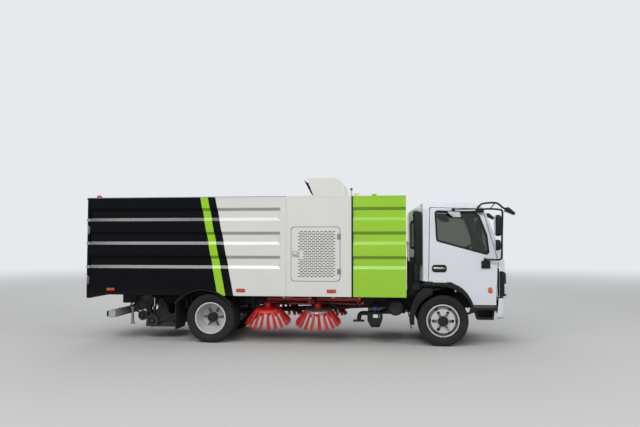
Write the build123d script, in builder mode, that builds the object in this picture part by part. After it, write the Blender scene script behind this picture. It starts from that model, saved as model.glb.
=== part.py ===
from build123d import *
from math import cos, hypot, radians, sin
import os

os.makedirs("parts", exist_ok=True)

# Overall sizes. X runs forward, Y to the truck's left and Z up from the road.
wheelbase = 3800
rear_axle_x = -1392
front_axle_x = rear_axle_x + wheelbase
body_half_width = 1120
cab_half_width = 1020
body_low_z = 785
body_floor_z = 796
body_top_z = 2410
wall = 50

# Wheels
tyre_radius = 405
tyre_width = 225
bead_radius = 250
rim_flange_radius = 261
front_tyre_y = 847.5
rear_outer_tyre_y = 927.5
twin_spacing = 255
disc_offset = twin_spacing / 2
disc_thickness = 8
hand_hole_count = 6
hand_hole_radius = 26
kingpin_y = 730

# Frame
rail_outer_y = 425
rail_low_z = 580
rail_top_z = 760
rail_flange = 70
rail_web = 8
rail_rear_x = -3180
rail_front_x = 3300
hopper_pivot_x = -3130
hopper_pivot_z = 720
hopper_pivot_radius = 30
running_gap = 0.06
moving_gap = 6
cab_pivot_x = 3370
cab_pivot_z = 700

# Body sections along the truck
tailgate_rear_x = -3527
tailgate_front_x = -3467
hopper_rear_x = tailgate_front_x + moving_gap
hopper_front_x = -106
compartment_rear_x = -96
compartment_front_x = 960
tank_rear_x = 983
tank_front_x = 1830

# Pressed bands in the side panels
band_low_z = 1225
band_spacing = 393
band_height = 218
band_slope = 54
band_depth = 22
band_front_x = -192

# Brushes
brush_y = 740
brush_z = 530
brush_tilt = 12
brush_tuft_count = 18
brush_ring_radius = 214
brush_ring_height = 50
brush_reach = 410
brush_tuft_drop = 238
tuft_root_radius = 16
tuft_tip_radius = 36
tuft_root_z = 18
brush_centres_x = [-476, 370]
brush_arm_length = 690
motor_radius = 55
shaft_radius = 18

# Leaf springs
spring_width = 70
spring_inner_y = 392
spring_eye_radius = 26
spring_pin_radius = 12
u_bolt_radius = 8

# Grille doors
hatch_low_z = 1036
hatch_high_z = 1904
hatch_rear_x = -20
hatch_front_x = 770
hatch_corner = 60
hatch_thickness = 38
hatch_gap = 8
hatch_sheet = 6
slot_length = 44
slot_height = 12
slot_pitch_x = 66
slot_pitch_z = 27
slot_rows = 28
slot_columns = 9
slot_field_x = 395
lock_x = 56
lock_z = 1463
lock_width = 112
lock_height = 92
lock_depth = 16


def block(x1, x2, y1, y2, z1, z2, mode=Mode.ADD):
    with Locations(((x1 + x2) / 2, (y1 + y2) / 2, (z1 + z2) / 2)):
        Box(x2 - x1, y2 - y1, z2 - z1, mode=mode)


def side_prism(points, y1, y2, mode=Mode.ADD):
    with BuildSketch(Plane.XZ.offset(-y2)) as outline:
        with BuildLine():
            Polyline(*points, close=True)
        make_face()
    extrude(outline.sketch, amount=y2 - y1, mode=mode)


def rounded_prism(points, radius, y1, y2, mode=Mode.ADD):
    with BuildSketch(Plane.XZ.offset(-y2)) as outline:
        with BuildLine():
            Polyline(*points, close=True)
        make_face()
        fillet(outline.vertices(), radius)
    extrude(outline.sketch, amount=y2 - y1, mode=mode)


def rounded_block(x1, x2, y1, y2, z1, z2, radius):
    block(x1, x2, y1, y2, z1, z2)
    fillet(edges(Select.LAST), radius)


def front_prism(points, x1, x2, mode=Mode.ADD):
    with BuildSketch(Plane.YZ.offset(x1)) as outline:
        with BuildLine():
            Polyline(*points, close=True)
        make_face()
    extrude(outline.sketch, amount=x2 - x1, mode=mode)


def bar(start, end, radius, mode=Mode.ADD):
    run = Vector(*end) - Vector(*start)
    with BuildSketch(Plane(origin=start, z_dir=run)) as end_face:
        Circle(radius)
    extrude(end_face.sketch, amount=run.length, mode=mode)


def turned(points, x, z, mode=Mode.ADD):
    with BuildSketch(Plane(origin=(x, 0, z), x_dir=(0, 1, 0), z_dir=(1, 0, 0))) as outline:
        with BuildLine():
            Polyline(*points, close=True)
        make_face()
    revolve(outline.sketch, axis=Axis((x, 0, z), (0, 1, 0)), revolution_arc=360, mode=mode)


# Tyres, as rings about the wheel's centre plane; side is +1 for left
def tyre(x, y):
    half = tyre_width / 2
    turned(
        [
            (y - 85.7, bead_radius),
            (y + 85.7, bead_radius),
            (y + 87.6, rim_flange_radius + 0.3),
            (y + 92, 264),
            (y + 106, 290),
            (y + half, 330),
            (y + 108, 378),
            (y + 96, 400),
            (y + 84, tyre_radius),
            (y - 84, tyre_radius),
            (y - 96, 400),
            (y - 108, 378),
            (y - half, 330),
            (y - 106, 290),
            (y - 92, 264),
            (y - 87.6, rim_flange_radius + 0.3),
        ],
        x,
        tyre_radius,
    )


# A dished rim; out is the way the disc stands from the rim's centre plane
def rim(x, y, out):
    face = disc_offset - disc_thickness
    turned(
        [
            (y - 97, rim_flange_radius),
            (y - 88, rim_flange_radius),
            (y - 86, bead_radius),
            (y + 86, bead_radius),
            (y + 88, rim_flange_radius),
            (y + 97, rim_flange_radius),
            (y + 95, 240),
            (y - 95, 240),
        ],
        x,
        tyre_radius,
    )
    turned(
        [
            (y + out * 40, 241),
            (y + out * 55, 241),
            (y + out * disc_offset, 196),
            (y + out * disc_offset, 82),
            (y + out * face, 82),
            (y + out * face, 190),
        ],
        x,
        tyre_radius,
    )


def hand_holes(x, y, count, radius):
    with Locations(Plane(origin=(x, y, tyre_radius), x_dir=(1, 0, 0), z_dir=(0, 1, 0))):
        with PolarLocations(150, count):
            Cylinder(radius, 120, mode=Mode.SUBTRACT)


for side, hand in [("left", 1), ("right", -1)]:
    with BuildPart() as front_tyre:
        tyre(front_axle_x, hand * front_tyre_y)
    front_tyre.part.label = "front_tyre_" + side
    export_step(front_tyre.part, "parts/front_tyre_" + side + ".step")

    with BuildPart() as front_rim:
        rim(front_axle_x, hand * front_tyre_y, hand)
        hub_face = front_tyre_y + disc_offset
        turned(
            [
                (hand * (front_tyre_y + 10), 40),
                (hand * (front_tyre_y + 10), 140),
                (hand * (hub_face - disc_thickness), 140),
                (hand * (hub_face - disc_thickness), 82),
                (hand * (hub_face + 30), 78),
                (hand * (hub_face + 36), 70),
                (hand * (hub_face + 36), 0),
                (hand * (hub_face + 10), 0),
                (hand * (hub_face + 10), 40),
            ],
            front_axle_x,
            tyre_radius,
        )
        hand_holes(front_axle_x, hand * (hub_face - 20), hand_hole_count, hand_hole_radius)
    front_rim.part.label = "front_rim_" + side
    export_step(front_rim.part, "parts/front_rim_" + side + ".step")

    rear_inner_tyre_y = rear_outer_tyre_y - twin_spacing
    with BuildPart() as rear_tyres:
        tyre(rear_axle_x, hand * rear_outer_tyre_y)
        tyre(rear_axle_x, hand * rear_inner_tyre_y)
    rear_tyres.part.label = "rear_tyres_" + side
    export_step(rear_tyres.part, "parts/rear_tyres_" + side + ".step")

    with BuildPart() as rear_rims:
        rim(rear_axle_x, hand * rear_outer_tyre_y, -hand)
        rim(rear_axle_x, hand * rear_inner_tyre_y, hand)
        clamp_y = rear_outer_tyre_y - disc_offset
        turned(
            [
                (hand * (clamp_y - 160), 62),
                (hand * (clamp_y - 160), 170),
                (hand * (clamp_y - disc_thickness), 170),
                (hand * (clamp_y - disc_thickness), 82),
                (hand * (clamp_y + 90), 82),
                (hand * (clamp_y + 120), 70),
                (hand * (clamp_y + 120), 0),
                (hand * (clamp_y + 60), 0),
                (hand * (clamp_y + 60), 62),
            ],
            rear_axle_x,
            tyre_radius,
        )
        hand_holes(rear_axle_x, hand * (clamp_y + 12), hand_hole_count, hand_hole_radius)
    rear_rims.part.label = "rear_rims_" + side
    export_step(rear_rims.part, "parts/rear_rims_" + side + ".step")

    # Knuckle: a kingpin boss, the stub axle and the steering arm
    with BuildPart() as steering_knuckle:
        for z1, z2 in [(330, 364), (446, 480)]:
            with Locations((front_axle_x, hand * kingpin_y, (z1 + z2) / 2)):
                Cylinder(38, z2 - z1)
        block(
            front_axle_x - 45,
            front_axle_x + 45,
            min(hand * (kingpin_y + 42), hand * (kingpin_y + 72)),
            max(hand * (kingpin_y + 42), hand * (kingpin_y + 72)),
            330,
            480,
        )
        for z1, z2 in [(330, 364), (446, 480)]:
            block(
                front_axle_x - 30,
                front_axle_x + 30,
                min(hand * kingpin_y, hand * (kingpin_y + 50)),
                max(hand * kingpin_y, hand * (kingpin_y + 50)),
                z1,
                z2,
            )
        bar(
            (front_axle_x, hand * (kingpin_y + 60), tyre_radius),
            (front_axle_x, hand * (front_tyre_y + 120), tyre_radius),
            40 - running_gap,
        )
        block(
            front_axle_x - 150,
            front_axle_x - 10,
            min(hand * (kingpin_y - 20), hand * (kingpin_y + 20)),
            max(hand * (kingpin_y - 20), hand * (kingpin_y + 20)),
            332,
            356,
        )
        with Locations((front_axle_x, hand * kingpin_y, 400)):
            Cylinder(20 + running_gap, 300, mode=Mode.SUBTRACT)
    steering_knuckle.part.label = "steering_knuckle_" + side
    export_step(steering_knuckle.part, "parts/steering_knuckle_" + side + ".step")

with BuildPart() as tie_rod:
    bar(
        (front_axle_x - 135, -kingpin_y, 308),
        (front_axle_x - 135, kingpin_y, 308),
        16,
    )
tie_rod.part.label = "tie_rod"
export_step(tie_rod.part, "parts/tie_rod.step")

# Front axle: a forged beam with a dropped middle and kingpins at its ends
with BuildPart() as front_axle_beam:
    front_prism(
        [
            (-kingpin_y, 370),
            (-560, 370),
            (-500, 300),
            (500, 300),
            (560, 370),
            (kingpin_y, 370),
            (kingpin_y, 440),
            (520, 440),
            (480, 396),
            (-480, 396),
            (-520, 440),
            (-kingpin_y, 440),
        ],
        front_axle_x - 38,
        front_axle_x + 38,
    )
    for hand in (-1, 1):
        with Locations((front_axle_x, hand * kingpin_y, 405)):
            Cylinder(38, 70)
            Cylinder(20, 150)
front_axle_beam.part.label = "front_axle_beam"
export_step(front_axle_beam.part, "parts/front_axle_beam.step")

with BuildPart() as rear_axle:
    bar((rear_axle_x, -860, tyre_radius), (rear_axle_x, 860, tyre_radius), 62 - running_gap)
    with Locations((rear_axle_x, 0, tyre_radius)):
        Sphere(165)
    block(rear_axle_x - 66, rear_axle_x + 66, -520, 520, tyre_radius - 66, tyre_radius + 66)
    bar((rear_axle_x, 0, tyre_radius), (rear_axle_x + 230, 0, 418), 60)
rear_axle.part.label = "rear_axle"
export_step(rear_axle.part, "parts/rear_axle.step")

# Leaf springs with their eyes and hangers; each row is one pair
spring_rows = [
    # axle x, seat z, half length, thickness, eye z, leaves, bolt x from axle, clamp low z
    (front_axle_x, 396, 620, 45, 500, 3, 50, 300),
    (rear_axle_x, 471, 600, 60, 540, 4, 78, 339),
]
with BuildPart() as leaf_springs:
    for axle_x, seat_z, half_length, thickness, eye_z, leaf_count, bolt_x, clamp_low_z in spring_rows:
        leaf = thickness / leaf_count
        rise = (eye_z - leaf / 2 - (seat_z + thickness - leaf)) / (half_length - 90)
        for hand in (-1, 1):
            y1, y2 = sorted((hand * spring_inner_y, hand * (spring_inner_y + spring_width)))
            for index in range(leaf_count):
                reach = half_length * (1 - 0.2 * index)
                low = seat_z + thickness - leaf * (index + 1)
                end = low + rise * (reach - 90)
                side_prism(
                    [
                        (axle_x - reach, end),
                        (axle_x - 90, low),
                        (axle_x + 90, low),
                        (axle_x + reach, end),
                        (axle_x + reach, end + leaf),
                        (axle_x + 90, low + leaf),
                        (axle_x - 90, low + leaf),
                        (axle_x - reach, end + leaf),
                    ],
                    y1,
                    y2,
                )
            for way in (-1, 1):
                x = axle_x + way * half_length
                bar((x, y1, eye_z), (x, y2, eye_z), spring_eye_radius)
                bar((x, y1, eye_z), (x, y2, eye_z), spring_pin_radius + running_gap, Mode.SUBTRACT)
                for y in (y1 - u_bolt_radius, y2 + u_bolt_radius):
                    bolt = axle_x + way * bolt_x
                    bar((bolt, y, clamp_low_z - 12), (bolt, y, seat_z + thickness + 12), u_bolt_radius)
            block(
                axle_x - bolt_x - 16,
                axle_x + bolt_x + 16,
                y1 - 2 * u_bolt_radius - 4,
                y2 + 2 * u_bolt_radius + 4,
                seat_z + thickness,
                seat_z + thickness + 12,
            )
            block(
                axle_x - bolt_x - 16,
                axle_x + bolt_x + 16,
                y1 - 2 * u_bolt_radius - 4,
                y2 + 2 * u_bolt_radius + 4,
                clamp_low_z - 12,
                clamp_low_z,
            )
leaf_springs.part.label = "leaf_springs"
export_step(leaf_springs.part, "parts/leaf_springs.step")

# Frame rails are channels open to the inside
cross_members_x = [-2700, -2200, -960, -100, 700, 1380, 3250]
with BuildPart() as chassis_frame:
    for hand in (-1, 1):
        flange_y = hand * (rail_outer_y - rail_flange)
        web_y = hand * (rail_outer_y - rail_web)
        front_prism(
            [
                (flange_y, rail_low_z),
                (hand * rail_outer_y, rail_low_z),
                (hand * rail_outer_y, rail_top_z),
                (flange_y, rail_top_z),
                (flange_y, rail_top_z - rail_web),
                (web_y, rail_top_z - rail_web),
                (web_y, rail_low_z + rail_web),
                (flange_y, rail_low_z + rail_web),
            ],
            rail_rear_x,
            rail_front_x,
        )
        y1, y2 = sorted((flange_y, hand * rail_outer_y))
        block(hopper_pivot_x, 1900, y1, y2, rail_top_z, 790)
        for axle_x, seat_z, half_length, thickness, eye_z, *rest in spring_rows:
            for way in (-1, 1):
                x = axle_x + way * half_length
                y1, y2 = sorted((hand * 470, hand * 480))
                block(x - 30, x + 30, y1, y2, eye_z - 36, 700)
                y1, y2 = sorted((hand * 425, hand * 480))
                block(x - 30, x + 30, y1, y2, 640, 700)
                y1, y2 = sorted((hand * 380, hand * 480))
                bar((x, y1, eye_z), (x, y2, eye_z), 12)
        y1, y2 = sorted((hand * 395, hand * 425))
        block(rail_front_x, 3392, y1, y2, 660, 740)
        y1, y2 = sorted((hand * 400, hand * 470))
        bar((cab_pivot_x, y1, cab_pivot_z), (cab_pivot_x, y2, cab_pivot_z), 15)
        y1, y2 = sorted((hand * 350, hand * 390))
        block(rail_front_x - 60, 3415.9, y1, y2, 590, 640)
    for x in cross_members_x:
        block(x - 30, x + 30, 8 - rail_outer_y, rail_outer_y - 8, 620, 720)
    bar(
        (hopper_pivot_x, 4 - rail_outer_y, hopper_pivot_z),
        (hopper_pivot_x, rail_outer_y - 4, hopper_pivot_z),
        hopper_pivot_radius,
    )
    for y in (-60, 60):
        block(-1180, -960, y - 10, y + 10, 590, 680)
    bar((-1130, -66, 630), (-1130, 66, 630), 18)
chassis_frame.part.label = "chassis_frame"
export_step(chassis_frame.part, "parts/chassis_frame.step")

with BuildPart() as drive_shaft:
    bar((rear_axle_x + 230.3, 0, 418), (1497, 0, 560), 42)
drive_shaft.part.label = "drive_shaft"
export_step(drive_shaft.part, "parts/drive_shaft.step")

with BuildPart() as engine_block:
    block(2000, 2660, -330, 330, 520, 880)
    block(1500, 2000, -180, 180, 480, 750)
    block(2480, 2560, -417, 417, 600, 660)
engine_block.part.label = "engine_block"
export_step(engine_block.part, "parts/engine_block.step")

with BuildPart() as fuel_tank:
    block(1150, 1740, 500, 980, 330, 700)
    fillet(fuel_tank.edges().filter_by(Axis.X), 60)
    for x in (1260, 1630):
        with BuildSketch(Plane.YZ.offset(x - 20)) as strap:
            with Locations((740, 515)):
                RectangleRounded(488, 378, 64)
                RectangleRounded(480, 370, 60, mode=Mode.SUBTRACT)
        extrude(strap.sketch, amount=40)
        block(x - 30, x + 30, 425, 502, 600, 660)
        block(x - 30, x + 30, 425, 437, 580, 740)
    with Locations(Plane(origin=(1445, 880, 690), z_dir=(0, 0.5, 0.866))):
        with Locations((0, 0, 30)):
            Cylinder(42, 40)
fuel_tank.part.label = "fuel_tank"
export_step(fuel_tank.part, "parts/fuel_tank.step")

with BuildPart() as urea_tank:
    front_prism([(-960, 520), (-960, 330), (-930, 285), (-670, 285), (-640, 330), (-640, 520)], 1201, 1445)
    side_prism(
        [(1201, 520), (1201, 400), (1262, 285), (1396, 285), (1445, 400), (1445, 520)],
        -1000,
        -600,
        mode=Mode.INTERSECT,
    )
    fillet(urea_tank.edges().filter_by(Axis.Z), 24)
    for x in (1255, 1385):
        block(x - 12, x + 12, -967, -633, 380, 527)
    block(1290, 1350, -660, -425, 600, 640)
    block(1290, 1350, -700, -640, 510, 640)
    with Locations((1323, -890, 545)):
        Cylinder(34, 60)
    with Locations((1323, -890, 585)):
        Cylinder(46, 34)
urea_tank.part.label = "urea_tank"
export_step(urea_tank.part, "parts/urea_tank.step")

with BuildPart() as exhaust_silencer:
    turned(
        [(-860, 0), (-860, 90), (-848, 114), (-825, 122), (-545, 122), (-522, 114), (-510, 90), (-510, 0)],
        1658,
        590,
    )
    for y in (-800, -570):
        bar((1658, y - 18, 590), (1658, y + 18, 590), 128)
    block(1620, 1696, -585, -425, 640, 700)
    with BuildLine() as tail_line:
        FilletPolyline((1560, -640, 560), (1360, -560, 470), (1060, -560, 470), (1041, -560, 352), radius=60)
    with BuildSketch(Plane(origin=(1560, -640, 560), z_dir=(-200, 80, -90))) as tail_end:
        Circle(36)
    sweep(tail_end.sketch, path=tail_line.line)
    with BuildSketch(Plane.XY.offset(328)) as foot:
        with Locations((1041, -560)):
            SlotOverall(190, 80, rotation=0)
    extrude(foot.sketch, amount=28)
exhaust_silencer.part.label = "exhaust_silencer"
export_step(exhaust_silencer.part, "parts/exhaust_silencer.step")

# Rear fenders: one arc over each pair of twin tyres, with a flap hung behind
fender_x = -1507
fender_z = 280
fender_radius = 604
fender_start = 36
fender_end = 142
fender_thickness = 8


def ring_sector(x, z, low, high, start, end, y1, y2, mode=Mode.ADD):
    def spot(radius, angle):
        return (x + radius * cos(radians(angle)), z + radius * sin(radians(angle)))

    with BuildSketch(Plane.XZ.offset(-y2)) as outline:
        with BuildLine():
            CenterArc((x, z), low, start, end - start)
            CenterArc((x, z), high, start, end - start)
            Line(spot(low, start), spot(high, start))
            Line(spot(low, end), spot(high, end))
        make_face()
    extrude(outline.sketch, amount=y2 - y1, mode=mode)


fender_lip = 16
fender_rows = [
    # inner y, outer y, low radius, high radius
    (530, 1110, fender_radius - fender_thickness, fender_radius),
    (1102, 1110, fender_radius - fender_lip, fender_radius),
    (530, 538, fender_radius - fender_lip, fender_radius),
]
with BuildPart() as rear_fenders:
    for hand in (-1, 1):
        for inner_y, outer_y, low, high in fender_rows:
            y1, y2 = sorted((hand * inner_y, hand * outer_y))
            ring_sector(fender_x, fender_z, low, high, fender_start, fender_end, y1, y2)
        y1, y2 = sorted((hand * 530, hand * 546))
        side_prism([(-1900, 640), (-1860, 640), (-1860, 762), (-1900, 736)], y1, y2)
        side_prism([(-1120, 640), (-1080, 640), (-1080, 705), (-1120, 725)], y1, y2)
        y1, y2 = sorted((hand * 425, hand * 546))
        block(-1900, -1860, y1, y2, 640, 680)
        block(-1120, -1080, y1, y2, 640, 680)
        with BuildSketch(Plane.YZ.offset(-1990)) as flap:
            with Locations((hand * 800, 433)):
                RectangleRounded(480, 446, 30)
        extrude(flap.sketch, amount=12)
        y1, y2 = sorted((hand * 560, hand * 1040))
        block(-1990, -1968, y1, y2, 626, 656)
rear_fenders.part.label = "rear_fenders"
export_step(rear_fenders.part, "parts/rear_fenders.step")

guard_radius = 505
with BuildPart() as front_mudguards:
    for hand in (-1, 1):
        y1, y2 = sorted((hand * 590, hand * 1000))
        ring_sector(front_axle_x, tyre_radius, guard_radius, guard_radius + 6, 96, 194, y1, y2)
        for inner_y in (590, 992):
            y1, y2 = sorted((hand * inner_y, hand * (inner_y + 8)))
            ring_sector(front_axle_x, tyre_radius, guard_radius, guard_radius + 20, 96, 194, y1, y2)
        y1, y2 = sorted((hand * 425, hand * 620))
        block(1942, 1972, y1, y2, 636, 660)
        y1, y2 = sorted((hand * 425, hand * 437))
        block(1912, 1976, y1, y2, 600, 720)
front_mudguards.part.label = "front_mudguards"
export_step(front_mudguards.part, "parts/front_mudguards.step")

with BuildPart() as underrun_beam:
    with BuildSketch(Plane.XZ.offset(1000)) as section:
        with Locations((-3112, 448)):
            RectangleRounded(120, 117, 14)
            RectangleRounded(108, 105, 9, mode=Mode.SUBTRACT)
    extrude(section.sketch, amount=-2000)
    for hand in (-1, 1):
        y1, y2 = sorted((hand * 1000, hand * 992))
        block(-3166, -3058, y1, y2, 396, 500)
        y1, y2 = sorted((hand * 429, hand * 455))
        side_prism([(-3052, 400), (-2640, 590), (-2640, 740), (-2760, 740), (-3052, 500)], y1, y2)
        y1, y2 = sorted((hand * 425, hand * 440))
        block(-2760, -2640, y1, y2, 600, 740)
underrun_beam.part.label = "underrun_beam"
export_step(underrun_beam.part, "parts/underrun_beam.step")

# Suction nozzle in its raised place, with its wheels, pipe and links
nozzle_wall = 8
nozzle_half_width = 680
nozzle_profile = [(-2640, 205), (-2640, 300), (-2560, 385), (-2330, 385), (-2130, 290), (-2130, 205)]
nozzle_hollow = [
    (-2640 + nozzle_wall, 190),
    (-2640 + nozzle_wall, 297),
    (-2556, 385 - nozzle_wall),
    (-2332, 385 - nozzle_wall),
    (-2130 - nozzle_wall, 285),
    (-2130 - nozzle_wall, 190),
]
nozzle_wheels = [
    # x, z, radius, inner y, outer y
    (-2502, 310, 105, 700, 748),
    (-2674, 400, 85, 700, 748),
]
with BuildPart() as suction_nozzle:
    side_prism(nozzle_profile, -nozzle_half_width, nozzle_half_width)
    side_prism(nozzle_hollow, nozzle_wall - nozzle_half_width, nozzle_half_width - nozzle_wall, mode=Mode.SUBTRACT)
    with Locations((-2440, 0, 582)):
        Cylinder(125, 404)
    with Locations((-2440, 0, 460)):
        Cylinder(134, 24)
    with Locations((-2440, 0, 582)):
        Cylinder(115, 470, mode=Mode.SUBTRACT)
    for hand in (-1, 1):
        for x, z, radius, inner_y, outer_y in nozzle_wheels:
            bar((x, hand * inner_y, z), (x, hand * outer_y, z), radius)
            bar((x, hand * (outer_y - 14), z), (x, hand * (outer_y + 6), z), radius * 0.62, Mode.SUBTRACT)
            bar((x, hand * nozzle_half_width, z), (x, hand * (outer_y + 4), z), 22)
        y1, y2 = sorted((hand * (nozzle_half_width - nozzle_wall), hand * (nozzle_half_width + 10)))
        side_prism([(-2730, 400), (-2530, 255), (-2440, 255), (-2440, 340), (-2640, 450)], y1, y2)
        y1, y2 = sorted((hand * 429, hand * 459))
        side_prism([(-2300, 365), (-2240, 340), (-2030, 600), (-2030, 640), (-2080, 640)], y1, y2)
        y1, y2 = sorted((hand * 425, hand * 445))
        block(-2080, -2030, y1, y2, 600, 720)
        y1, y2 = sorted((hand * 520, hand * 532))
        side_prism([(-2330, 375), (-2200, 313), (-2170, 400), (-2250, 470)], y1, y2)
    for y in (-590, 590):
        bar((-2640, y, 250), (-2665, y, 250), 20)
suction_nozzle.part.label = "suction_nozzle"
export_step(suction_nozzle.part, "parts/suction_nozzle.step")

# Bumper: a wall that follows the cab's front, open behind
cab_sections = [
    # z, front x at the middle, half width
    (600, 3440, cab_half_width),
    (900, 3452, cab_half_width),
    (1316, 3442, cab_half_width),
    (1440, 3425, cab_half_width - 2),
    (2200, 3130, cab_half_width - 26),
    (2290, 3060, cab_half_width - 60),
    (2345, 2930, cab_half_width - 140),
]
cab_front_bulge = 58
cab_corner = 150
cab_rear_x = 1880


def cab_plan(front_x, half_width, rear_inset):
    corner_x = front_x - cab_front_bulge
    front_y = half_width - cab_corner
    side_x = corner_x - cab_corner * 0.8
    middle_y = half_width - cab_corner * 0.27
    middle_x = corner_x - cab_corner * 0.2
    rear_x = cab_rear_x + rear_inset
    rear_y = half_width - 220
    with BuildLine() as outline:
        ThreePointArc((corner_x, -front_y), (front_x, 0), (corner_x, front_y))
        ThreePointArc((corner_x, front_y), (middle_x, middle_y), (side_x, half_width))
        Line((side_x, half_width), (rear_x + 220, half_width))
        Line((rear_x + 220, half_width), (rear_x + 180, half_width - 140))
        Line((rear_x + 180, half_width - 140), (rear_x, rear_y))
        Line((rear_x, rear_y), (rear_x, -rear_y))
        Line((rear_x, -rear_y), (rear_x + 180, 140 - half_width))
        Line((rear_x + 180, 140 - half_width), (rear_x + 220, -half_width))
        Line((rear_x + 220, -half_width), (side_x, -half_width))
        ThreePointArc((side_x, -half_width), (middle_x, -middle_y), (corner_x, -front_y))
    return outline.line


def cab_body(front_inset, side_inset, rear_inset):
    with BuildPart() as body:
        for z, front_x, half_width in cab_sections:
            with BuildSketch(Plane.XY.offset(z)):
                add(cab_plan(front_x - front_inset, half_width - side_inset, rear_inset))
                make_face()
        loft(ruled=True)
    return body.part


bumper_sections = [
    # z, inset of the outer face
    (446, 46),
    (492, 6),
    (560, 0),
    (780, 0),
]
with BuildPart() as bumper:
    for depth, mode in [(0, Mode.ADD), (12, Mode.SUBTRACT)]:
        for z, inset in bumper_sections:
            if mode == Mode.SUBTRACT and z == bumper_sections[0][0]:
                z -= 6
            if mode == Mode.SUBTRACT and z == bumper_sections[-1][0]:
                z += 10
            with BuildSketch(Plane.XY.offset(z)):
                add(cab_plan(3440 - inset - depth, cab_half_width - inset - depth, 0))
                make_face()
        loft(ruled=True, mode=mode)
    side_prism([(1800, 400), (3234, 400), (3272, 800), (1800, 800)], -1100, 1100, mode=Mode.SUBTRACT)
    with BuildSketch(Plane.YZ.offset(3300)) as openings:
        for z in (596, 640):
            with Locations((0, z)):
                SlotOverall(860, 26)
        for y in (-700, 700):
            with Locations((y, 618)):
                RectangleRounded(200, 96, 34)
    extrude(openings.sketch, amount=200, mode=Mode.SUBTRACT)
    with BuildSketch(Plane.YZ.offset(3356)) as lamps:
        for y in (-700, 700):
            with Locations((y, 618)):
                RectangleRounded(216, 112, 40)
    extrude(lamps.sketch, amount=40)
bumper.part.label = "bumper"
export_step(bumper.part, "parts/bumper.step")

arch_start = (2541, 1026)
arch_middle = (2745, 868)
arch_end = (2880, 640)
cab_outline = [
    arch_end,
    (3225, 640),
    (3240, 810),
    (3600, 810),
    (3600, 2190),
    (3130, 2236),
    (2795, 2305),
    (2200, 2334),
    (2127, 2314),
    (1870, 2145),
    (1870, 1040),
    (2093, 1040),
    arch_start,
]


# The cab seen from the side, with its edge arched over the front wheel
def cab_side(mode):
    with BuildSketch(Plane.XZ.offset(-1100)) as outline:
        with BuildLine():
            Polyline(*cab_outline)
            ThreePointArc(arch_start, arch_middle, arch_end)
        make_face()
    extrude(outline.sketch, amount=2200, mode=mode)


cavity_outline = [
    (1900, 1090),
    (2560, 1090),
    (2790, 900),
    (3600, 900),
    (3600, 2140),
    (3110, 2188),
    (2790, 2255),
    (2205, 2284),
    (2140, 2264),
    (1900, 2106),
]
door_outline = [
    (2176, 600),
    (3226, 600),
    (3231, 810),
    (3262, 1340),
    (3196, 1600),
    (3066, 2080),
    (2985, 2190),
    (2215, 2216),
]
window_outline = [
    (2318, 1687),
    (2296, 2162),
    (2905, 2138),
    (2985, 2073),
    (3095, 1772),
    (3125, 1495),
    (3081, 1475),
]
door_thickness = 45
front_glass_outline = [(-820, 1500), (820, 1500), (790, 2130), (-790, 2130)]

door_gap = 10
door_corner = 28
window_corner = 44
quarter_outline = [(1912, 1560), (1912, 1985), (2028, 2065), (2028, 1560)]
grille_low_z = 946
grille_bar_pitch = 46
grille_bar_height = 16


# A skin of the cab between two depths below its outer face
def cab_skin(outer, inner, rear_outer, rear_inner):
    with BuildPart() as skin:
        add(cab_body(outer, outer, rear_outer))
        add(cab_body(inner, inner, rear_inner), mode=Mode.SUBTRACT)
    return skin.part


with BuildPart() as cab_cavity:
    add(cab_body(wall, wall, wall))
    side_prism(cavity_outline, -1100, 1100, mode=Mode.INTERSECT)

with BuildPart() as front_grille:
    add(cab_skin(-20, 14, 0, 0))
    with BuildPart(mode=Mode.PRIVATE) as slots:
        with BuildSketch(Plane.YZ.offset(3300)) as openings:
            for row in range(5):
                with Locations((0, grille_low_z + grille_bar_pitch * (row + 0.5))):
                    RectangleRounded(1240 - 24 * row, grille_bar_pitch - grille_bar_height, 12)
        extrude(openings.sketch, amount=300)
    add(slots.part, mode=Mode.INTERSECT)

with BuildPart() as cab_shell:
    add(cab_body(0, 0, 0))
    cab_side(Mode.INTERSECT)
    block(2500, 3240, -780, 780, 500, 850, mode=Mode.SUBTRACT)
    add(cab_cavity.part, mode=Mode.SUBTRACT)
    for hand in (-1, 1):
        y1, y2 = sorted((hand * 830, hand * 972))
        block(2915, 3190, y1, y2, 690, 905, mode=Mode.SUBTRACT)
    with BuildSketch(Plane.YZ.offset(2950)) as windscreen:
        with BuildLine():
            Polyline(*front_glass_outline, close=True)
        make_face()
        fillet(windscreen.vertices(), window_corner)
    extrude(windscreen.sketch, amount=650, mode=Mode.SUBTRACT)
    rounded_prism(quarter_outline, 26, -1100, -600, mode=Mode.SUBTRACT)
    rounded_prism(quarter_outline, 26, 600, 1100, mode=Mode.SUBTRACT)
    add(front_grille.part, mode=Mode.SUBTRACT)

with BuildPart() as door_space:
    add(cab_body(-20, -20, 0))
    add(cab_body(0, door_thickness + moving_gap, 0), mode=Mode.SUBTRACT)
    with BuildPart(mode=Mode.PRIVATE) as door_frame:
        with BuildSketch(Plane.XZ.offset(-1100)) as outline:
            with BuildLine():
                Polyline(*door_outline, close=True)
            make_face()
            offset(amount=door_gap, kind=Kind.INTERSECTION)
        extrude(outline.sketch, amount=2200)
    add(door_frame.part, mode=Mode.INTERSECT)

with BuildPart() as cab_with_doorways:
    add(cab_shell.part)
    add(door_space.part, mode=Mode.SUBTRACT)
    for hand in (-1, 1):
        y1, y2 = sorted((hand * 440, hand * 460))
        side_prism(
            [(3344, 694), (3370, 672), (3396, 694), (3396, 706), (3384, 724), (3270, 840), (3180, 840), (3200, 820)],
            y1,
            y2,
        )
        bar((cab_pivot_x, y1, cab_pivot_z), (cab_pivot_x, y2, cab_pivot_z), 15 + running_gap, Mode.SUBTRACT)
cab_with_doorways.part.label = "cab_shell"
export_step(cab_with_doorways.part, "parts/cab_shell.step")

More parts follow.
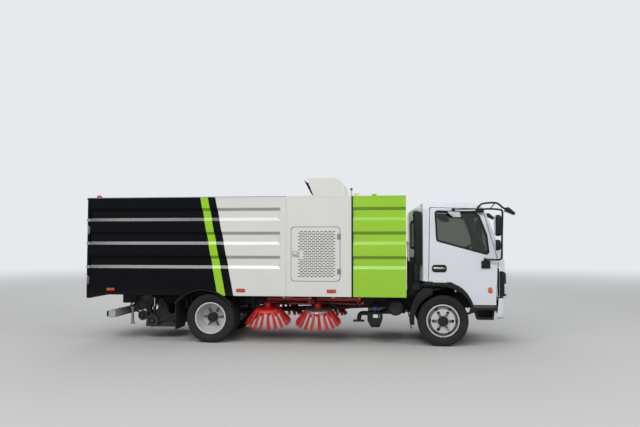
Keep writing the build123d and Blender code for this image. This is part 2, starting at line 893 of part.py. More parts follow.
# The windscreen and the two quarter windows
with BuildPart() as cab_glass:
    add(cab_skin(15, 21, 15, 21))
    with BuildPart(mode=Mode.PRIVATE) as panes:
        with BuildSketch(Plane.YZ.offset(2950)) as windscreen:
            with BuildLine():
                Polyline(*front_glass_outline, close=True)
            make_face()
            fillet(windscreen.vertices(), window_corner)
        extrude(windscreen.sketch, amount=650)
        rounded_prism(quarter_outline, 26, -1100, -600)
        rounded_prism(quarter_outline, 26, 600, 1100)
    add(panes.part, mode=Mode.INTERSECT)
cab_glass.part.label = "cab_glass"
export_step(cab_glass.part, "parts/cab_glass.step")

with BuildPart() as door_panels:
    add(cab_body(0, 0, 0))
    add(cab_body(0, door_thickness, 0), mode=Mode.SUBTRACT)
    rounded_prism(door_outline, door_corner, -1100, 1100, mode=Mode.INTERSECT)
    cab_side(Mode.INTERSECT)
    rounded_prism(window_outline, window_corner, -1100, 1100, mode=Mode.SUBTRACT)

with BuildPart() as glass_panels:
    add(cab_body(0, 18, 0))
    add(cab_body(0, 24, 0), mode=Mode.SUBTRACT)
    rounded_prism(window_outline, window_corner, -1100, 1100, mode=Mode.INTERSECT)

# Mirrors ride on the doors: an arm bent from tube, and four heads
mirror_rows = [
    # x1, x2, y1, y2, z1, z2, corner
    (3196, 3291, 1075, 1215, 1734, 2062, 28),
    (3190, 3275, 1080, 1210, 1493, 1672, 24),
    (3367, 3532, 960, 1090, 2110, 2176, 18),
    (2470, 2695, 1050, 1140, 2008, 2105, 22),
]
mirror_arm = [(3040, 1034, 1290), (3290, 1140, 1400), (3343, 1140, 2108), (3000, 1085, 2150), (2960, 1009, 2150)]
arm_radius = 13
with BuildPart() as mirrors_left:
    for head in mirror_rows:
        rounded_block(*head)
    with BuildLine() as arm_line:
        FilletPolyline(*mirror_arm, radius=45)
    with BuildSketch(Plane(origin=mirror_arm[0], z_dir=Vector(*mirror_arm[1]) - Vector(*mirror_arm[0]))) as tube:
        Circle(arm_radius)
    sweep(tube.sketch, path=arm_line.line)
    block(3001, 3128, 1020, 1034, 1233, 1352)
    for x, z in [(3325, 1790), (3332, 1990), (3300, 1580)]:
        bar((3250, 1140, z), (x, 1140, z), 8)
    bar((3305, 1138, 2111), (3440, 1050, 2128), 9)
    bar((3000, 1085, 2150), (2650, 1100, 2080), 9)
mirrors_left.part.label = "mirrors_left"
export_step(mirrors_left.part, "parts/mirrors_left.step")
with BuildPart() as mirrors_right:
    mirror(mirrors_left.part, about=Plane.XZ)
mirrors_right.part.label = "mirrors_right"
export_step(mirrors_right.part, "parts/mirrors_right.step")

for side, hand in [("left", 1), ("right", -1)]:
    y1, y2 = sorted((hand * 500, hand * 1100))
    with BuildPart() as cab_door:
        add(door_panels.part)
        block(2000, 3400, y1, y2, 500, 2400, mode=Mode.INTERSECT)
    cab_door.part.label = "cab_door_" + side
    export_step(cab_door.part, "parts/cab_door_" + side + ".step")
    with BuildPart() as door_glass:
        add(glass_panels.part)
        block(2000, 3400, y1, y2, 500, 2400, mode=Mode.INTERSECT)
    door_glass.part.label = "door_glass_" + side
    export_step(door_glass.part, "parts/door_glass_" + side + ".step")

seat_rows = [
    # y, half width
    (-520, 240),
    (480, 240),
]
with BuildPart() as seats:
    for y, half_width in seat_rows:
        side_prism([(2290, 1090), (2690, 1090), (2660, 1200), (2300, 1200)], y - 190, y + 190)
        rounded_prism(
            [(2250, 1190), (2700, 1200), (2735, 1260), (2720, 1325), (2260, 1330)], 24, y - half_width, y + half_width
        )
        rounded_prism(
            [(2200, 1300), (2335, 1300), (2310, 1500), (2215, 1880), (2130, 1880), (2120, 1700)],
            30,
            y - half_width + 10,
            y + half_width - 10,
        )
        for post in (-60, 60):
            bar((2170, y + post, 1860), (2158, y + post, 1950), 8)
        rounded_prism([(2120, 1920), (2205, 1920), (2190, 2075), (2110, 2065)], 26, y - 130, y + 130)
seats.part.label = "seats"
export_step(seats.part, "parts/seats.step")

wheel_hub = Vector(2860, 480, 1500)
wheel_tilt = Vector(-0.55, 0, 0.835)
with BuildPart() as dashboard:
    add(cab_body(wall + 0.3, wall + 0.3, wall))
    side_prism(
        [(3500, 1480), (3080, 1440), (3060, 1340), (3180, 1200), (3300, 900.3), (3500, 900.3)],
        -1000,
        1000,
        mode=Mode.INTERSECT,
    )
    block(3000, 3500, -915, 915, 850, 1500, mode=Mode.INTERSECT)
    side_prism([(3100, 1440), (2960, 1400), (2980, 1290), (3180, 1200)], 430, 530)
    bar(wheel_hub - wheel_tilt * 60, wheel_hub - wheel_tilt * 400, 22.3, Mode.SUBTRACT)
dashboard.part.label = "dashboard"
export_step(dashboard.part, "parts/dashboard.step")

with BuildPart() as steering_wheel:
    with Locations(Plane(origin=wheel_hub, z_dir=wheel_tilt)):
        Torus(215, 15)
        Cylinder(45, 30)
        Box(24, 420, 12)
        Box(420, 24, 12)
    bar(wheel_hub - wheel_tilt * 5, wheel_hub - wheel_tilt * 330, 22)
steering_wheel.part.label = "steering_wheel"
export_step(steering_wheel.part, "parts/steering_wheel.step")

with BuildPart() as front_lamps:
    for inset, mode in [(-8, Mode.ADD), (4, Mode.SUBTRACT)]:
        with BuildSketch(Plane.XY.offset(800)) as outline:
            add(cab_plan(3452 - inset, cab_half_width - inset, 0))
            make_face()
        extrude(outline.sketch, amount=420, mode=mode)
    add(cab_body(-0.3, -0.3, 0), mode=Mode.SUBTRACT)
    rounded_prism(
        [(3284, 812), (3600, 812), (3600, 1090), (3424, 1152), (3330, 1206), (3284, 1206)],
        14,
        -1100,
        1100,
        mode=Mode.INTERSECT,
    )
    block(3200, 3600, -640, 640, 790, 1230, mode=Mode.SUBTRACT)
front_lamps.part.label = "front_lamps"
export_step(front_lamps.part, "parts/front_lamps.step")

step_outline = [(2890, 639.7), (3215, 639.7), (3190, 436), (2940, 436)]
with BuildPart() as cab_steps:
    for hand in (-1, 1):
        y1, y2 = sorted((hand * 800, hand * 1000))
        side_prism(step_outline, y1, y2)
        y1, y2 = sorted((hand * 815, hand * 1010))
        rounded_prism([(2960, 474), (3172, 474), (3182, 590), (2924, 590)], 18, y1, y2, mode=Mode.SUBTRACT)
        y1, y2 = sorted((hand * 840, hand * 960))
        for x in (2990, 3060, 3130):
            block(x - 22, x + 22, y1, y2, 430, 480, mode=Mode.SUBTRACT)
            block(x - 22, x + 22, y1, y2, 580, 620, mode=Mode.SUBTRACT)
cab_steps.part.label = "cab_steps"
export_step(cab_steps.part, "parts/cab_steps.step")

snorkel_sections = [
    # z, x1, x2, outer y
    (1000, 1958, 2030, 980),
    (1980, 1950, 2034, 998),
    (2120, 1938, 2044, 1010),
    (2165, 1950, 2034, 1000),
]
snorkel_rib_pitch = 40
with BuildPart() as air_intake:
    for z, x1, x2, outer_y in snorkel_sections:
        with BuildSketch(Plane.XY.offset(z)):
            with Locations(((x1 + x2) / 2, -outer_y / 2 - 452.5)):
                RectangleRounded(x2 - x1, outer_y - 905, 20)
    loft(ruled=True)
    for rib in range(22):
        z = 1080 + snorkel_rib_pitch * rib
        with BuildSketch(Plane.XY.offset(z)) as groove:
            with Locations((1995, -950)):
                Rectangle(200, 200)
                RectangleRounded(70, 66, 18, mode=Mode.SUBTRACT)
        extrude(groove.sketch, amount=14, mode=Mode.SUBTRACT)
    block(1930, 2050, -985, -600, 900, 1010)
    fillet(edges(Select.LAST).filter_by(Axis.Y), 18)
    block(1930, 1990, -620, -425, 740, 960)
air_intake.part.label = "air_intake"
export_step(air_intake.part, "parts/air_intake.step")


# A pressed band along a side panel; its end at x2 slopes up to the panel's face as its long edges do
def pressed_band(x1, x2, low_z, hand, end_slope=0, mode=Mode.SUBTRACT):
    high_z = low_z + band_height
    face = hand * (body_half_width + 1)
    floor = hand * (body_half_width - band_depth)
    with BuildSketch(Plane.XZ.offset(-face)) as mouth:
        with Locations(((x1 + x2) / 2, (low_z + high_z) / 2)):
            Rectangle(x2 - x1, band_height)
    with BuildSketch(Plane.XZ.offset(-floor)) as bottom:
        with Locations(((x1 + x2 - end_slope) / 2, (low_z + high_z) / 2)):
            Rectangle(x2 - end_slope - x1, band_height - 2 * band_slope)
    loft([mouth.sketch, bottom.sketch], ruled=True, mode=mode)


arch_clearance = 14
with BuildPart() as hopper:
    side_prism(
        [
            (hopper_rear_x, 720),
            (-3200, body_low_z),
            (hopper_front_x, body_low_z),
            (hopper_front_x, body_top_z),
            (hopper_rear_x, body_top_z),
        ],
        -body_half_width,
        body_half_width,
    )
    block(
        hopper_rear_x - 10,
        hopper_front_x + 10,
        40 - body_half_width,
        body_half_width - 40,
        700,
        body_floor_z,
        mode=Mode.SUBTRACT,
    )
    for hand in (-1, 1):
        y1, y2 = sorted((hand * 515, hand * 1200))
        ring_sector(fender_x, fender_z, 300, fender_radius + arch_clearance, 20, 160, y1, y2, mode=Mode.SUBTRACT)
        for row in range(3):
            pressed_band(hopper_rear_x - 5, band_front_x, band_low_z + row * band_spacing, hand, band_slope)
with BuildPart() as hopper_cavity:
    block(
        hopper_rear_x - 5,
        hopper_front_x - wall,
        wall - body_half_width,
        body_half_width - wall,
        body_floor_z + wall,
        body_top_z - wall,
    )
    for hand in (-1, 1):
        y1, y2 = sorted((hand * 470, hand * 1200))
        ring_sector(
            fender_x, fender_z, 300, fender_radius + arch_clearance + 40, 10, 170, y1, y2, mode=Mode.SUBTRACT
        )
with BuildPart() as hopper_shell:
    add(hopper.part)
    add(hopper_cavity.part, mode=Mode.SUBTRACT)
    for hand in (-1, 1):
        y1, y2 = sorted((hand * 250, hand * 275))
        side_prism(
            [
                (hopper_pivot_x - 50, hopper_pivot_z - 30),
                (hopper_pivot_x - 30, hopper_pivot_z - 50),
                (hopper_pivot_x + 30, hopper_pivot_z - 50),
                (hopper_pivot_x + 50, hopper_pivot_z - 30),
                (hopper_pivot_x + 110, 800),
                (hopper_pivot_x - 110, 800),
            ],
            y1,
            y2,
        )
        bar(
            (hopper_pivot_x, y1, hopper_pivot_z),
            (hopper_pivot_x, y2, hopper_pivot_z),
            hopper_pivot_radius + running_gap,
            Mode.SUBTRACT,
        )
        y1, y2 = sorted((hand * 50, hand * 66))
        side_prism([(-2060, 735), (-2045, 725), (-2015, 725), (-2000, 735), (-1970, 800), (-2090, 800)], y1, y2)
        bar((-2030, hand * 64, 755), (-2030, hand * 76, 755), 20)
    with Locations((-2440, 0, 800)):
        Cylinder(112, 120, mode=Mode.SUBTRACT)
hopper_shell.part.label = "hopper"
export_step(hopper_shell.part, "parts/hopper.step")

with BuildPart() as tailgate:
    block(tailgate_rear_x + 14, tailgate_front_x, -body_half_width, body_half_width, 720, 2380)
    fillet(edges(Select.LAST).filter_by(Axis.X), 24)
    block(tailgate_front_x - 25, tailgate_front_x + 5, -1040, 1040, 800, 2300, mode=Mode.SUBTRACT)
    for y in (-1050, -530, 0, 530, 1050):
        front_y = 60 if abs(y) > 1000 else 40
        with BuildSketch(Plane.XY.offset(760)) as rib:
            with Locations((tailgate_rear_x + 17, y)):
                Trapezoid(2 * front_y, 17.3, 60, rotation=90)
        extrude(rib.sketch, amount=1580)
    for z in (760, 1500, 2290):
        side_prism(
            [
                (tailgate_rear_x + 20, z - 10),
                (tailgate_rear_x, z),
                (tailgate_rear_x, z + 50),
                (tailgate_rear_x + 20, z + 60),
            ],
            -1090,
            1090,
        )
    for y in (-700, 0, 700):
        block(tailgate_rear_x + 14, tailgate_front_x, y - 40, y + 40, 2370, 2392)
        bar((-3504, y - 40, 2392), (-3504, y + 40, 2392), 18)
tailgate.part.label = "tailgate"
export_step(tailgate.part, "parts/tailgate.step")

with BuildPart() as roof_lamps:
    with Locations((-3400, -930, body_top_z + 30)):
        Cylinder(52, 60)
    with Locations((-3091, -500, body_top_z + 22)):
        Cylinder(70, 44)
roof_lamps.part.label = "roof_lamps"
export_step(roof_lamps.part, "parts/roof_lamps.step")

hoist_base = Vector(-1130, 0, 630)
hoist_top = Vector(-2030, 0, 755)
hoist_way = (hoist_top - hoist_base).normalized()
with BuildPart() as hoist_barrel:
    bar(hoist_base + hoist_way * 30, hoist_top - hoist_way * 90, 45)
    bar((-1130, -36, 630), (-1130, 36, 630), 36)
    bar((-1130, -60, 630), (-1130, 60, 630), 18 + running_gap, Mode.SUBTRACT)
    bar(hoist_base + hoist_way * 60, hoist_top - hoist_way * 80, 28 + running_gap, Mode.SUBTRACT)
hoist_barrel.part.label = "hoist_barrel"
export_step(hoist_barrel.part, "parts/hoist_barrel.step")
with BuildPart() as hoist_rod:
    bar(hoist_base + hoist_way * 80, hoist_top - hoist_way * 18, 28)
    bar((-2030, -36, 755), (-2030, 36, 755), 24)
    bar((-2030, -49, 755), (-2030, 49, 755), 14)
hoist_rod.part.label = "hoist_rod"
export_step(hoist_rod.part, "parts/hoist_rod.step")

# Engine compartment: a hollow section with a doorway on each side
with BuildPart() as engine_compartment:
    block(compartment_rear_x, compartment_front_x, -body_half_width, body_half_width, body_low_z, body_top_z)
    block(
        compartment_rear_x + 30,
        compartment_front_x - 30,
        40 - body_half_width,
        body_half_width - 40,
        body_floor_z + 40,
        body_top_z - 40,
        mode=Mode.SUBTRACT,
    )
    block(compartment_rear_x - 5, compartment_front_x + 5, -1080, 1080, 700, 790.3, mode=Mode.SUBTRACT)
    with BuildSketch(Plane.XZ.offset(-1200)) as doorway:
        with Locations(((hatch_rear_x + hatch_front_x) / 2, (hatch_low_z + hatch_high_z) / 2)):
            RectangleRounded(
                hatch_front_x - hatch_rear_x + 2 * hatch_gap, hatch_high_z - hatch_low_z + 2 * hatch_gap, hatch_corner
            )
    extrude(doorway.sketch, amount=2400, mode=Mode.SUBTRACT)
    block(262, 760, -300, 300, 2300, 2500, mode=Mode.SUBTRACT)
engine_compartment.part.label = "engine_compartment"
export_step(engine_compartment.part, "parts/engine_compartment.step")

with BuildPart() as sweeper_engine:
    block(40, 740, -350, 350, body_floor_z + 40.3, 1500)
sweeper_engine.part.label = "sweeper_engine"
export_step(sweeper_engine.part, "parts/sweeper_engine.step")

# Grille doors: a framed sheet pierced by staggered slots, with a sunk pan for the lock
hatch_middle_x = (hatch_rear_x + hatch_front_x) / 2
hatch_middle_z = (hatch_low_z + hatch_high_z) / 2
hatch_width = hatch_front_x - hatch_rear_x
hatch_height = hatch_high_z - hatch_low_z
for side, hand in [("left", 1), ("right", -1)]:
    outer = hand * body_half_width
    inner = hand * (body_half_width - hatch_thickness)
    sheet = hand * (body_half_width - hatch_sheet)
    pan = hand * (body_half_width - lock_depth - hatch_sheet)
    with BuildPart() as grille_door:
        for centre_x, width, height, corner, start, end, mode in [
            (hatch_middle_x, hatch_width, hatch_height, hatch_corner, inner, outer, Mode.ADD),
            (hatch_middle_x, hatch_width - 60, hatch_height - 60, hatch_corner - 30, inner, sheet, Mode.SUBTRACT),
        ]:
            with BuildSketch(Plane.XZ.offset(-start)) as panel:
                with Locations((centre_x, hatch_middle_z)):
                    RectangleRounded(width, height, corner)
            extrude(panel.sketch, amount=start - end, mode=mode)
        block(lock_x - lock_width / 2 - 6, lock_x + lock_width / 2 + 6, *sorted((pan, sheet)), lock_z - 52, lock_z + 52)
        with BuildSketch(Plane.XZ.offset(-outer)) as slots:
            for way in (-1, 1):
                with Locations((slot_field_x + way * slot_pitch_x / 4, hatch_middle_z + way * slot_pitch_z / 2)):
                    with GridLocations(slot_pitch_x, 2 * slot_pitch_z, slot_columns, slot_rows // 2):
                        Rectangle(slot_length, slot_height)
            with Locations((lock_x + 30, lock_z)):
                Rectangle(lock_width + 60, lock_height + 36, mode=Mode.SUBTRACT)
        extrude(slots.sketch, amount=outer - sheet, mode=Mode.SUBTRACT)
        with BuildSketch(Plane.XZ.offset(-outer)) as lock:
            with Locations((lock_x, lock_z)):
                RectangleRounded(lock_width, lock_height, 14)
        extrude(lock.sketch, amount=hand * lock_depth, mode=Mode.SUBTRACT)
    grille_door.part.label = "grille_door_" + side
    export_step(grille_door.part, "parts/grille_door_" + side + ".step")

with BuildPart() as water_tank:
    block(tank_rear_x, tank_front_x, -body_half_width, body_half_width, body_low_z, body_top_z - 5)
    for hand in (-1, 1):
        for row in range(3):
            pressed_band(tank_rear_x - 5, tank_front_x + 5, band_low_z + row * band_spacing, hand)
    block(tank_rear_x - 5, tank_front_x + 5, -1080, 1080, 700, 790.3, mode=Mode.SUBTRACT)
water_tank.part.label = "water_tank"
export_step(water_tank.part, "parts/water_tank.step")

hood_rows = [
    # front x, low z, top z, mouth x, half width, mode
    (795, 2410.3, 2785, 120, 340, Mode.ADD),
    (765, 2380, 2755, 60, 310, Mode.SUBTRACT),
]
with BuildPart() as exhaust_hood:
    for front_x, low_z, top_z, mouth_x, half_width, mode in hood_rows:
        with BuildSketch(Plane.XZ.offset(-half_width)) as outline:
            with BuildLine():
                Polyline((front_x - 235, top_z), (mouth_x, top_z), (front_x - 530, low_z), (front_x, low_z))
                Line((front_x, low_z), (front_x, top_z - 235))
                ThreePointArc((front_x, top_z - 235), (front_x - 69, top_z - 69), (front_x - 235, top_z))
            make_face()
        extrude(outline.sketch, amount=2 * half_width, mode=mode)
exhaust_hood.part.label = "exhaust_hood"
export_step(exhaust_hood.part, "parts/exhaust_hood.step")

with BuildPart() as roof_vents:
    for x, y in [(1310, -600), (1019, -700)]:
        with Locations((x, y, body_top_z + 30)):
            Cylinder(35, 70)
roof_vents.part.label = "roof_vents"
export_step(roof_vents.part, "parts/roof_vents.step")


# A side brush: a ring of flaring tufts under a round plate, made upright and then tipped
def brush_place(x, hand):
    return Plane(
        origin=(x, hand * brush_y, brush_z),
        x_dir=(1, 0, 0),
        z_dir=(0, hand * sin(radians(brush_tilt)), cos(radians(brush_tilt))),
    )


with BuildPart() as tuft:
    root = Vector(brush_ring_radius - 22, 0, tuft_root_z)
    tip = Vector(brush_reach - tuft_tip_radius, 0, -brush_tuft_drop)
    with BuildSketch(Plane(origin=root, z_dir=tip - root)):
        Circle(tuft_root_radius)
    with BuildSketch(Plane(origin=tip, z_dir=tip - root)):
        Circle(tuft_tip_radius)
    loft()

with BuildPart() as upright_brush:
    with BuildSketch(Plane.XZ) as ring_section:
        with BuildLine():
            Polyline(
                (110, 8),
                (brush_ring_radius - 34, 8),
                (brush_ring_radius - 28, -14),
                (brush_ring_radius + 6, -14),
                (brush_ring_radius + 6, 6),
                (brush_ring_radius - 8, brush_ring_height - 16),
                (110, brush_ring_height - 16),
                close=True,
            )
        make_face()
    revolve(ring_section.sketch, axis=Axis.Z, revolution_arc=360)
    with Locations((0, 0, 27)):
        Cylinder(brush_ring_radius - 40, 10)
    with Locations((0, 0, 40)):
        Cylinder(shaft_radius, 60)
    with PolarLocations(0, brush_tuft_count):
        add(tuft.part)
    with Locations((0, 0, 27)):
        with PolarLocations(70, 4):
            Cylinder(24, 30, mode=Mode.SUBTRACT)

brush_places = [
    # name, x, side, hand
    ("rear_brush_left", brush_centres_x[0], 1),
    ("rear_brush_right", brush_centres_x[0], -1),
    ("front_brush_left", brush_centres_x[1], 1),
    ("front_brush_right", brush_centres_x[1], -1),
]
for node, x, hand in brush_places:
    with BuildPart() as side_brush:
        add(brush_place(x, hand) * upright_brush.part)
    side_brush.part.label = node
    export_step(side_brush.part, "parts/" + node + ".step")

# Each brush hangs from a motor on a pair of trailing arms, one above the other
arm_rows = [
    # height at the frame, height at the brush, half height, half thickness
    (700, 690, 22, 10),
    (612, 640, 9, 9),
]
with BuildPart() as brush_arms:
    for x in brush_centres_x:
        for hand in (-1, 1):
            place = brush_place(x, hand)
            low = place.origin + place.z_dir * 40
            bar(low, low + place.z_dir * 86, motor_radius)
            bar(low, low + place.z_dir * 14, motor_radius + 22)
            bar(low - place.z_dir * 5, low + place.z_dir * 62, shaft_radius + running_gap, Mode.SUBTRACT)
            pivot_x = x + brush_arm_length
            head_y1, head_y2 = sorted((hand * (brush_y - 150), hand * (brush_y - 130)))
            block(x - 40, x + 80, head_y1, head_y2, 620, 716)
            y1, y2 = sorted((hand * (brush_y - 150), hand * (brush_y + 10)))
            block(x - 30, x + 30, y1, y2, 640, 662)
            for frame_z, brush_end_z, half_height, half_thickness in arm_rows:
                y = hand * (brush_y - 140)
                y1, y2 = sorted((y - half_thickness, y + half_thickness))
                side_prism(
                    [
                        (x + 50, brush_end_z - half_height),
                        (pivot_x, frame_z - half_height),
                        (pivot_x, frame_z + half_height),
                        (x + 50, brush_end_z + half_height),
                    ],
                    y1,
                    y2,
                )
            y1, y2 = sorted((hand * rail_outer_y, hand * (brush_y - 126)))
            block(pivot_x - 20, pivot_x + 20, y1, y2, 690, 730)
            y1, y2 = sorted((hand * (brush_y - 152), hand * (brush_y - 128)))
            block(pivot_x - 26, pivot_x + 26, y1, y2, 603, 730)
            y1, y2 = sorted((hand * rail_outer_y, hand * (rail_outer_y + 12)))
            block(pivot_x - 60, pivot_x + 60, y1, y2, 600, 752)
brush_arms.part.label = "brush_arms"
export_step(brush_arms.part, "parts/brush_arms.step")
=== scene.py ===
import math

import bpy
from mathutils import Matrix, Vector


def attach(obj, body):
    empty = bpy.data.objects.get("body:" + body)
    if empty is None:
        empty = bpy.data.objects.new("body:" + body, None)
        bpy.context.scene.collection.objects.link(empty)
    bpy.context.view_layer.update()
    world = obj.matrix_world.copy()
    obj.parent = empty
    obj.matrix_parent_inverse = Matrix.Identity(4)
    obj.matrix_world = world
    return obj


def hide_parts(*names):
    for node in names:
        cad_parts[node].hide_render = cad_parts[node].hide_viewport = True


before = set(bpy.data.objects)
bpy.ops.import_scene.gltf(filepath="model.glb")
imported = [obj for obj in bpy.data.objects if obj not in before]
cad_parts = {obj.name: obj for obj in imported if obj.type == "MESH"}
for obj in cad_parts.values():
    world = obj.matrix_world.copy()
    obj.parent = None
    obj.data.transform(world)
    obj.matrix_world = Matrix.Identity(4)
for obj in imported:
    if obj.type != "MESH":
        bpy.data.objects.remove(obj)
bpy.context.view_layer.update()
print("truck frame loaded")

hands = (("left", 1), ("right", -1))


# tools for the pieces
def mode(name):
    bpy.ops.object.mode_set(mode=name)


def letGo():
    if bpy.context.object and bpy.context.object.mode != "OBJECT":
        mode("OBJECT")
    bpy.ops.object.select_all(action="DESELECT")


def hold(*pieces):
    letGo()
    for piece in pieces:
        piece.select_set(True)
    bpy.context.view_layer.objects.active = pieces[0]


def settle(piece):
    hold(piece)
    bpy.ops.object.transform_apply(location=True, rotation=True, scale=True)
    return piece


def cube(low, high):
    letGo()
    size = [high[i] - low[i] for i in range(3)]
    middle = [(high[i] + low[i]) / 2 for i in range(3)]
    bpy.ops.mesh.primitive_cube_add(size=1, location=middle, scale=size)
    return settle(bpy.context.object)


def rod(start, end, radius, sides=16, endRadius=None):
    letGo()
    run = Vector(end) - Vector(start)
    bpy.ops.mesh.primitive_cone_add(
        vertices=sides, radius1=radius, radius2=radius if endRadius is None else endRadius, depth=run.length,
        location=(Vector(start) + Vector(end)) / 2, rotation=run.to_track_quat("Z", "Y").to_euler(),
    )
    return settle(bpy.context.object)


def modify(piece, kind, **values):
    hold(piece)
    modifier = piece.modifiers.new(kind.lower(), kind)
    for key, value in values.items():
        setattr(modifier, key, value)
    bpy.ops.object.modifier_apply(modifier=modifier.name)
    return piece


def roundEdges(piece, width, segments=2, angle=30):
    return modify(piece, "BEVEL", width=width, segments=segments, limit_method="ANGLE", angle_limit=math.radians(angle))


def smooth(piece, angle=35):
    hold(piece)
    bpy.ops.object.shade_smooth_by_angle(angle=math.radians(angle))
    return piece


def recess(piece, test, thickness, depth):
    # sinks the faces that pass the test inside a rim
    hold(piece)
    mode("EDIT")
    bpy.ops.mesh.select_mode(type="FACE")
    bpy.ops.mesh.select_all(action="DESELECT")
    mode("OBJECT")
    for face in piece.data.polygons:
        face.select = bool(test(face.center, face.normal))
    mode("EDIT")
    bpy.ops.mesh.inset(thickness=thickness, depth=depth)
    mode("OBJECT")
    return piece


def join(*pieces):
    hold(*pieces)
    if len(pieces) > 1:
        bpy.ops.object.join()
    return bpy.context.object


def again(piece, matrix):
    # a copy with a mesh of its own, moved by the matrix
    twin = piece.copy()
    twin.data = piece.data.copy()
    bpy.context.collection.objects.link(twin)
    twin.data.transform(matrix)
    if matrix.determinant() < 0:
        twin.data.flip_normals()
    return twin


def mirrored(piece):
    return again(piece, Matrix.Scale(-1, 4, (0, 1, 0)))


def shifted(piece, x=0, y=0, z=0):
    return again(piece, Matrix.Translation((x, y, z)))


def turnedRing(profile, spot, steps, closed=True):
    # a profile of (distance along Y, radius) spun about the Y axis through the spot
    letGo()
    bpy.ops.mesh.primitive_circle_add(vertices=len(profile), radius=1)
    ring = bpy.context.object
    for vertex, (along, radius) in zip(ring.data.vertices, profile):
        vertex.co = (0, along, radius)
    if not closed:
        hold(ring)
        mode("EDIT")
        bpy.ops.mesh.select_mode(type="EDGE")
        bpy.ops.mesh.select_all(action="DESELECT")
        mode("OBJECT")
        for edge in ring.data.edges:
            edge.select = set(edge.vertices) == {0, len(profile) - 1}
        mode("EDIT")
        bpy.ops.mesh.delete(type="EDGE_FACE")
        mode("OBJECT")
    hold(ring)
    mode("EDIT")
    bpy.ops.mesh.select_all(action="SELECT")
    bpy.ops.mesh.spin(steps=steps, angle=math.tau, center=(0, 0, 0), axis=(0, 1, 0))
    bpy.ops.mesh.select_all(action="SELECT")
    bpy.ops.mesh.remove_doubles(threshold=0.00005)
    bpy.ops.mesh.normals_make_consistent(inside=False)
    mode("OBJECT")
    ring.data.transform(Matrix.Translation(spot))
    return ring


def softLine(name, points, radius, sides=12):
    # a round smooth curve led by the points
    curve = bpy.data.curves.new(name, "CURVE")
    curve.dimensions = "3D"
    line = curve.splines.new("NURBS")
    line.points.add(len(points) - 1)
    for point, spot in zip(line.points, points):
        point.co = (*spot, 1)
    line.order_u = 3
    line.use_endpoint_u = True
    curve.bevel_depth = radius
    curve.bevel_resolution = max(1, sides // 4 - 1)
    curve.resolution_u = 6
    curve.use_fill_caps = True
    piece = bpy.data.objects.new(name, curve)
    bpy.context.collection.objects.link(piece)
    return piece


def tube(name, points, radius, sides=12):
    hold(softLine(name, points, radius, sides))
    bpy.ops.object.convert(target="MESH")
    return bpy.context.object


def place(piece, name, body, material, replaces=()):
    settle(piece)
    piece.name = name
    piece.data.name = name
    piece.data.materials.clear()
    piece.data.materials.append(material)
    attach(piece, body)
    if replaces:
        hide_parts(*replaces)
    return piece


def bothSides(piece, name, body, material, replaces=()):
    # made on the left and mirrored to the right; SIDE in a name stands for the side
    for (side, _), half in zip(hands, (piece, mirrored(piece))):
        nodes = [node.replace("SIDE", side) for node in replaces]
        place(half, f"{name}_{side}", body.replace("SIDE", side), material, nodes)


# surface effects; an input is a number, a colour or another node's output
def feed(tree, node, inputs):
    for key, value in inputs.items():
        if isinstance(value, (int, float, tuple)):
            node.inputs[key].default_value = value
        else:
            tree.links.new(value, node.inputs[key])


def newNode(tree, kind, inputs, **settings):
    node = tree.nodes.new(f"ShaderNode{kind}")
    for key, value in settings.items():
        setattr(node, key, value)
    feed(tree, node, inputs)
    return node


def calc(tree, kind, first, second=None, clamp=False):
    inputs = {0: first} if second is None else {0: first, 1: second}
    return newNode(tree, "Math", inputs, operation=kind, use_clamp=clamp).outputs[0]


def mixColour(tree, factor, first, second, blend="MIX"):
    return newNode(tree, "Mix", {0: factor, 6: first, 7: second}, data_type="RGBA", blend_type=blend).outputs[2]


def spotOn(tree):
    return newNode(tree, "TexCoord", {}).outputs["Object"]


def axesOf(tree):
    return newNode(tree, "SeparateXYZ", {0: spotOn(tree)}).outputs


def reachOf(tree, parts):
    flat = newNode(tree, "CombineXYZ", parts).outputs[0]
    return newNode(tree, "VectorMath", {0: flat}, operation="LENGTH").outputs["Value"]


def whereAll(tree, tests):
    # 1 where every coordinate test holds; Y counts from the middle plane
    axes = axesOf(tree)
    mask = 1.0
    for axis, kind, limit in tests:
        reading = calc(tree, "ABSOLUTE", axes["Y"]) if axis == "Y" else axes[axis]
        mask = calc(tree, "MULTIPLY", calc(tree, kind, reading, limit), mask)
    return mask


def newGroup(name, inputs, outputs):
    group = bpy.data.node_groups.new(name, "ShaderNodeTree")
    for label, start in inputs.items():
        socket = group.interface.new_socket(name=label, in_out="INPUT", socket_type="NodeSocketFloat")
        socket.default_value = start
    for label in outputs:
        group.interface.new_socket(name=label, in_out="OUTPUT", socket_type="NodeSocketFloat")
    return group, group.nodes.new("NodeGroupInput").outputs, group.nodes.new("NodeGroupOutput")


def addGroup(tree, group, **values):
    inputs = {key.replace("_", " "): value for key, value in values.items()}
    return newNode(tree, "Group", inputs, node_tree=group).outputs


def makeDustGroup():
    # clouds of dust that thin out upwards
    group, entry, leave = newGroup("roadDust", {"Top": 1.0, "Spread": 0.6, "Amount": 0.5, "Scale": 6.0}, ["Mask"])
    clouds = newNode(group, "TexNoise", {
        "Vector": spotOn(group), "Scale": entry["Scale"], "Detail": 6, "Roughness": 0.65,
    })
    below = calc(group, "SUBTRACT", entry["Top"], axesOf(group)["Z"])
    height = calc(group, "DIVIDE", below, entry["Spread"], True)
    cloud = calc(group, "MULTIPLY", clouds.outputs["Fac"], 1.5, True)
    patch = calc(group, "MULTIPLY", height, cloud)
    feed(group, leave, {"Mask": calc(group, "MULTIPLY", patch, entry["Amount"], True)})
    return group


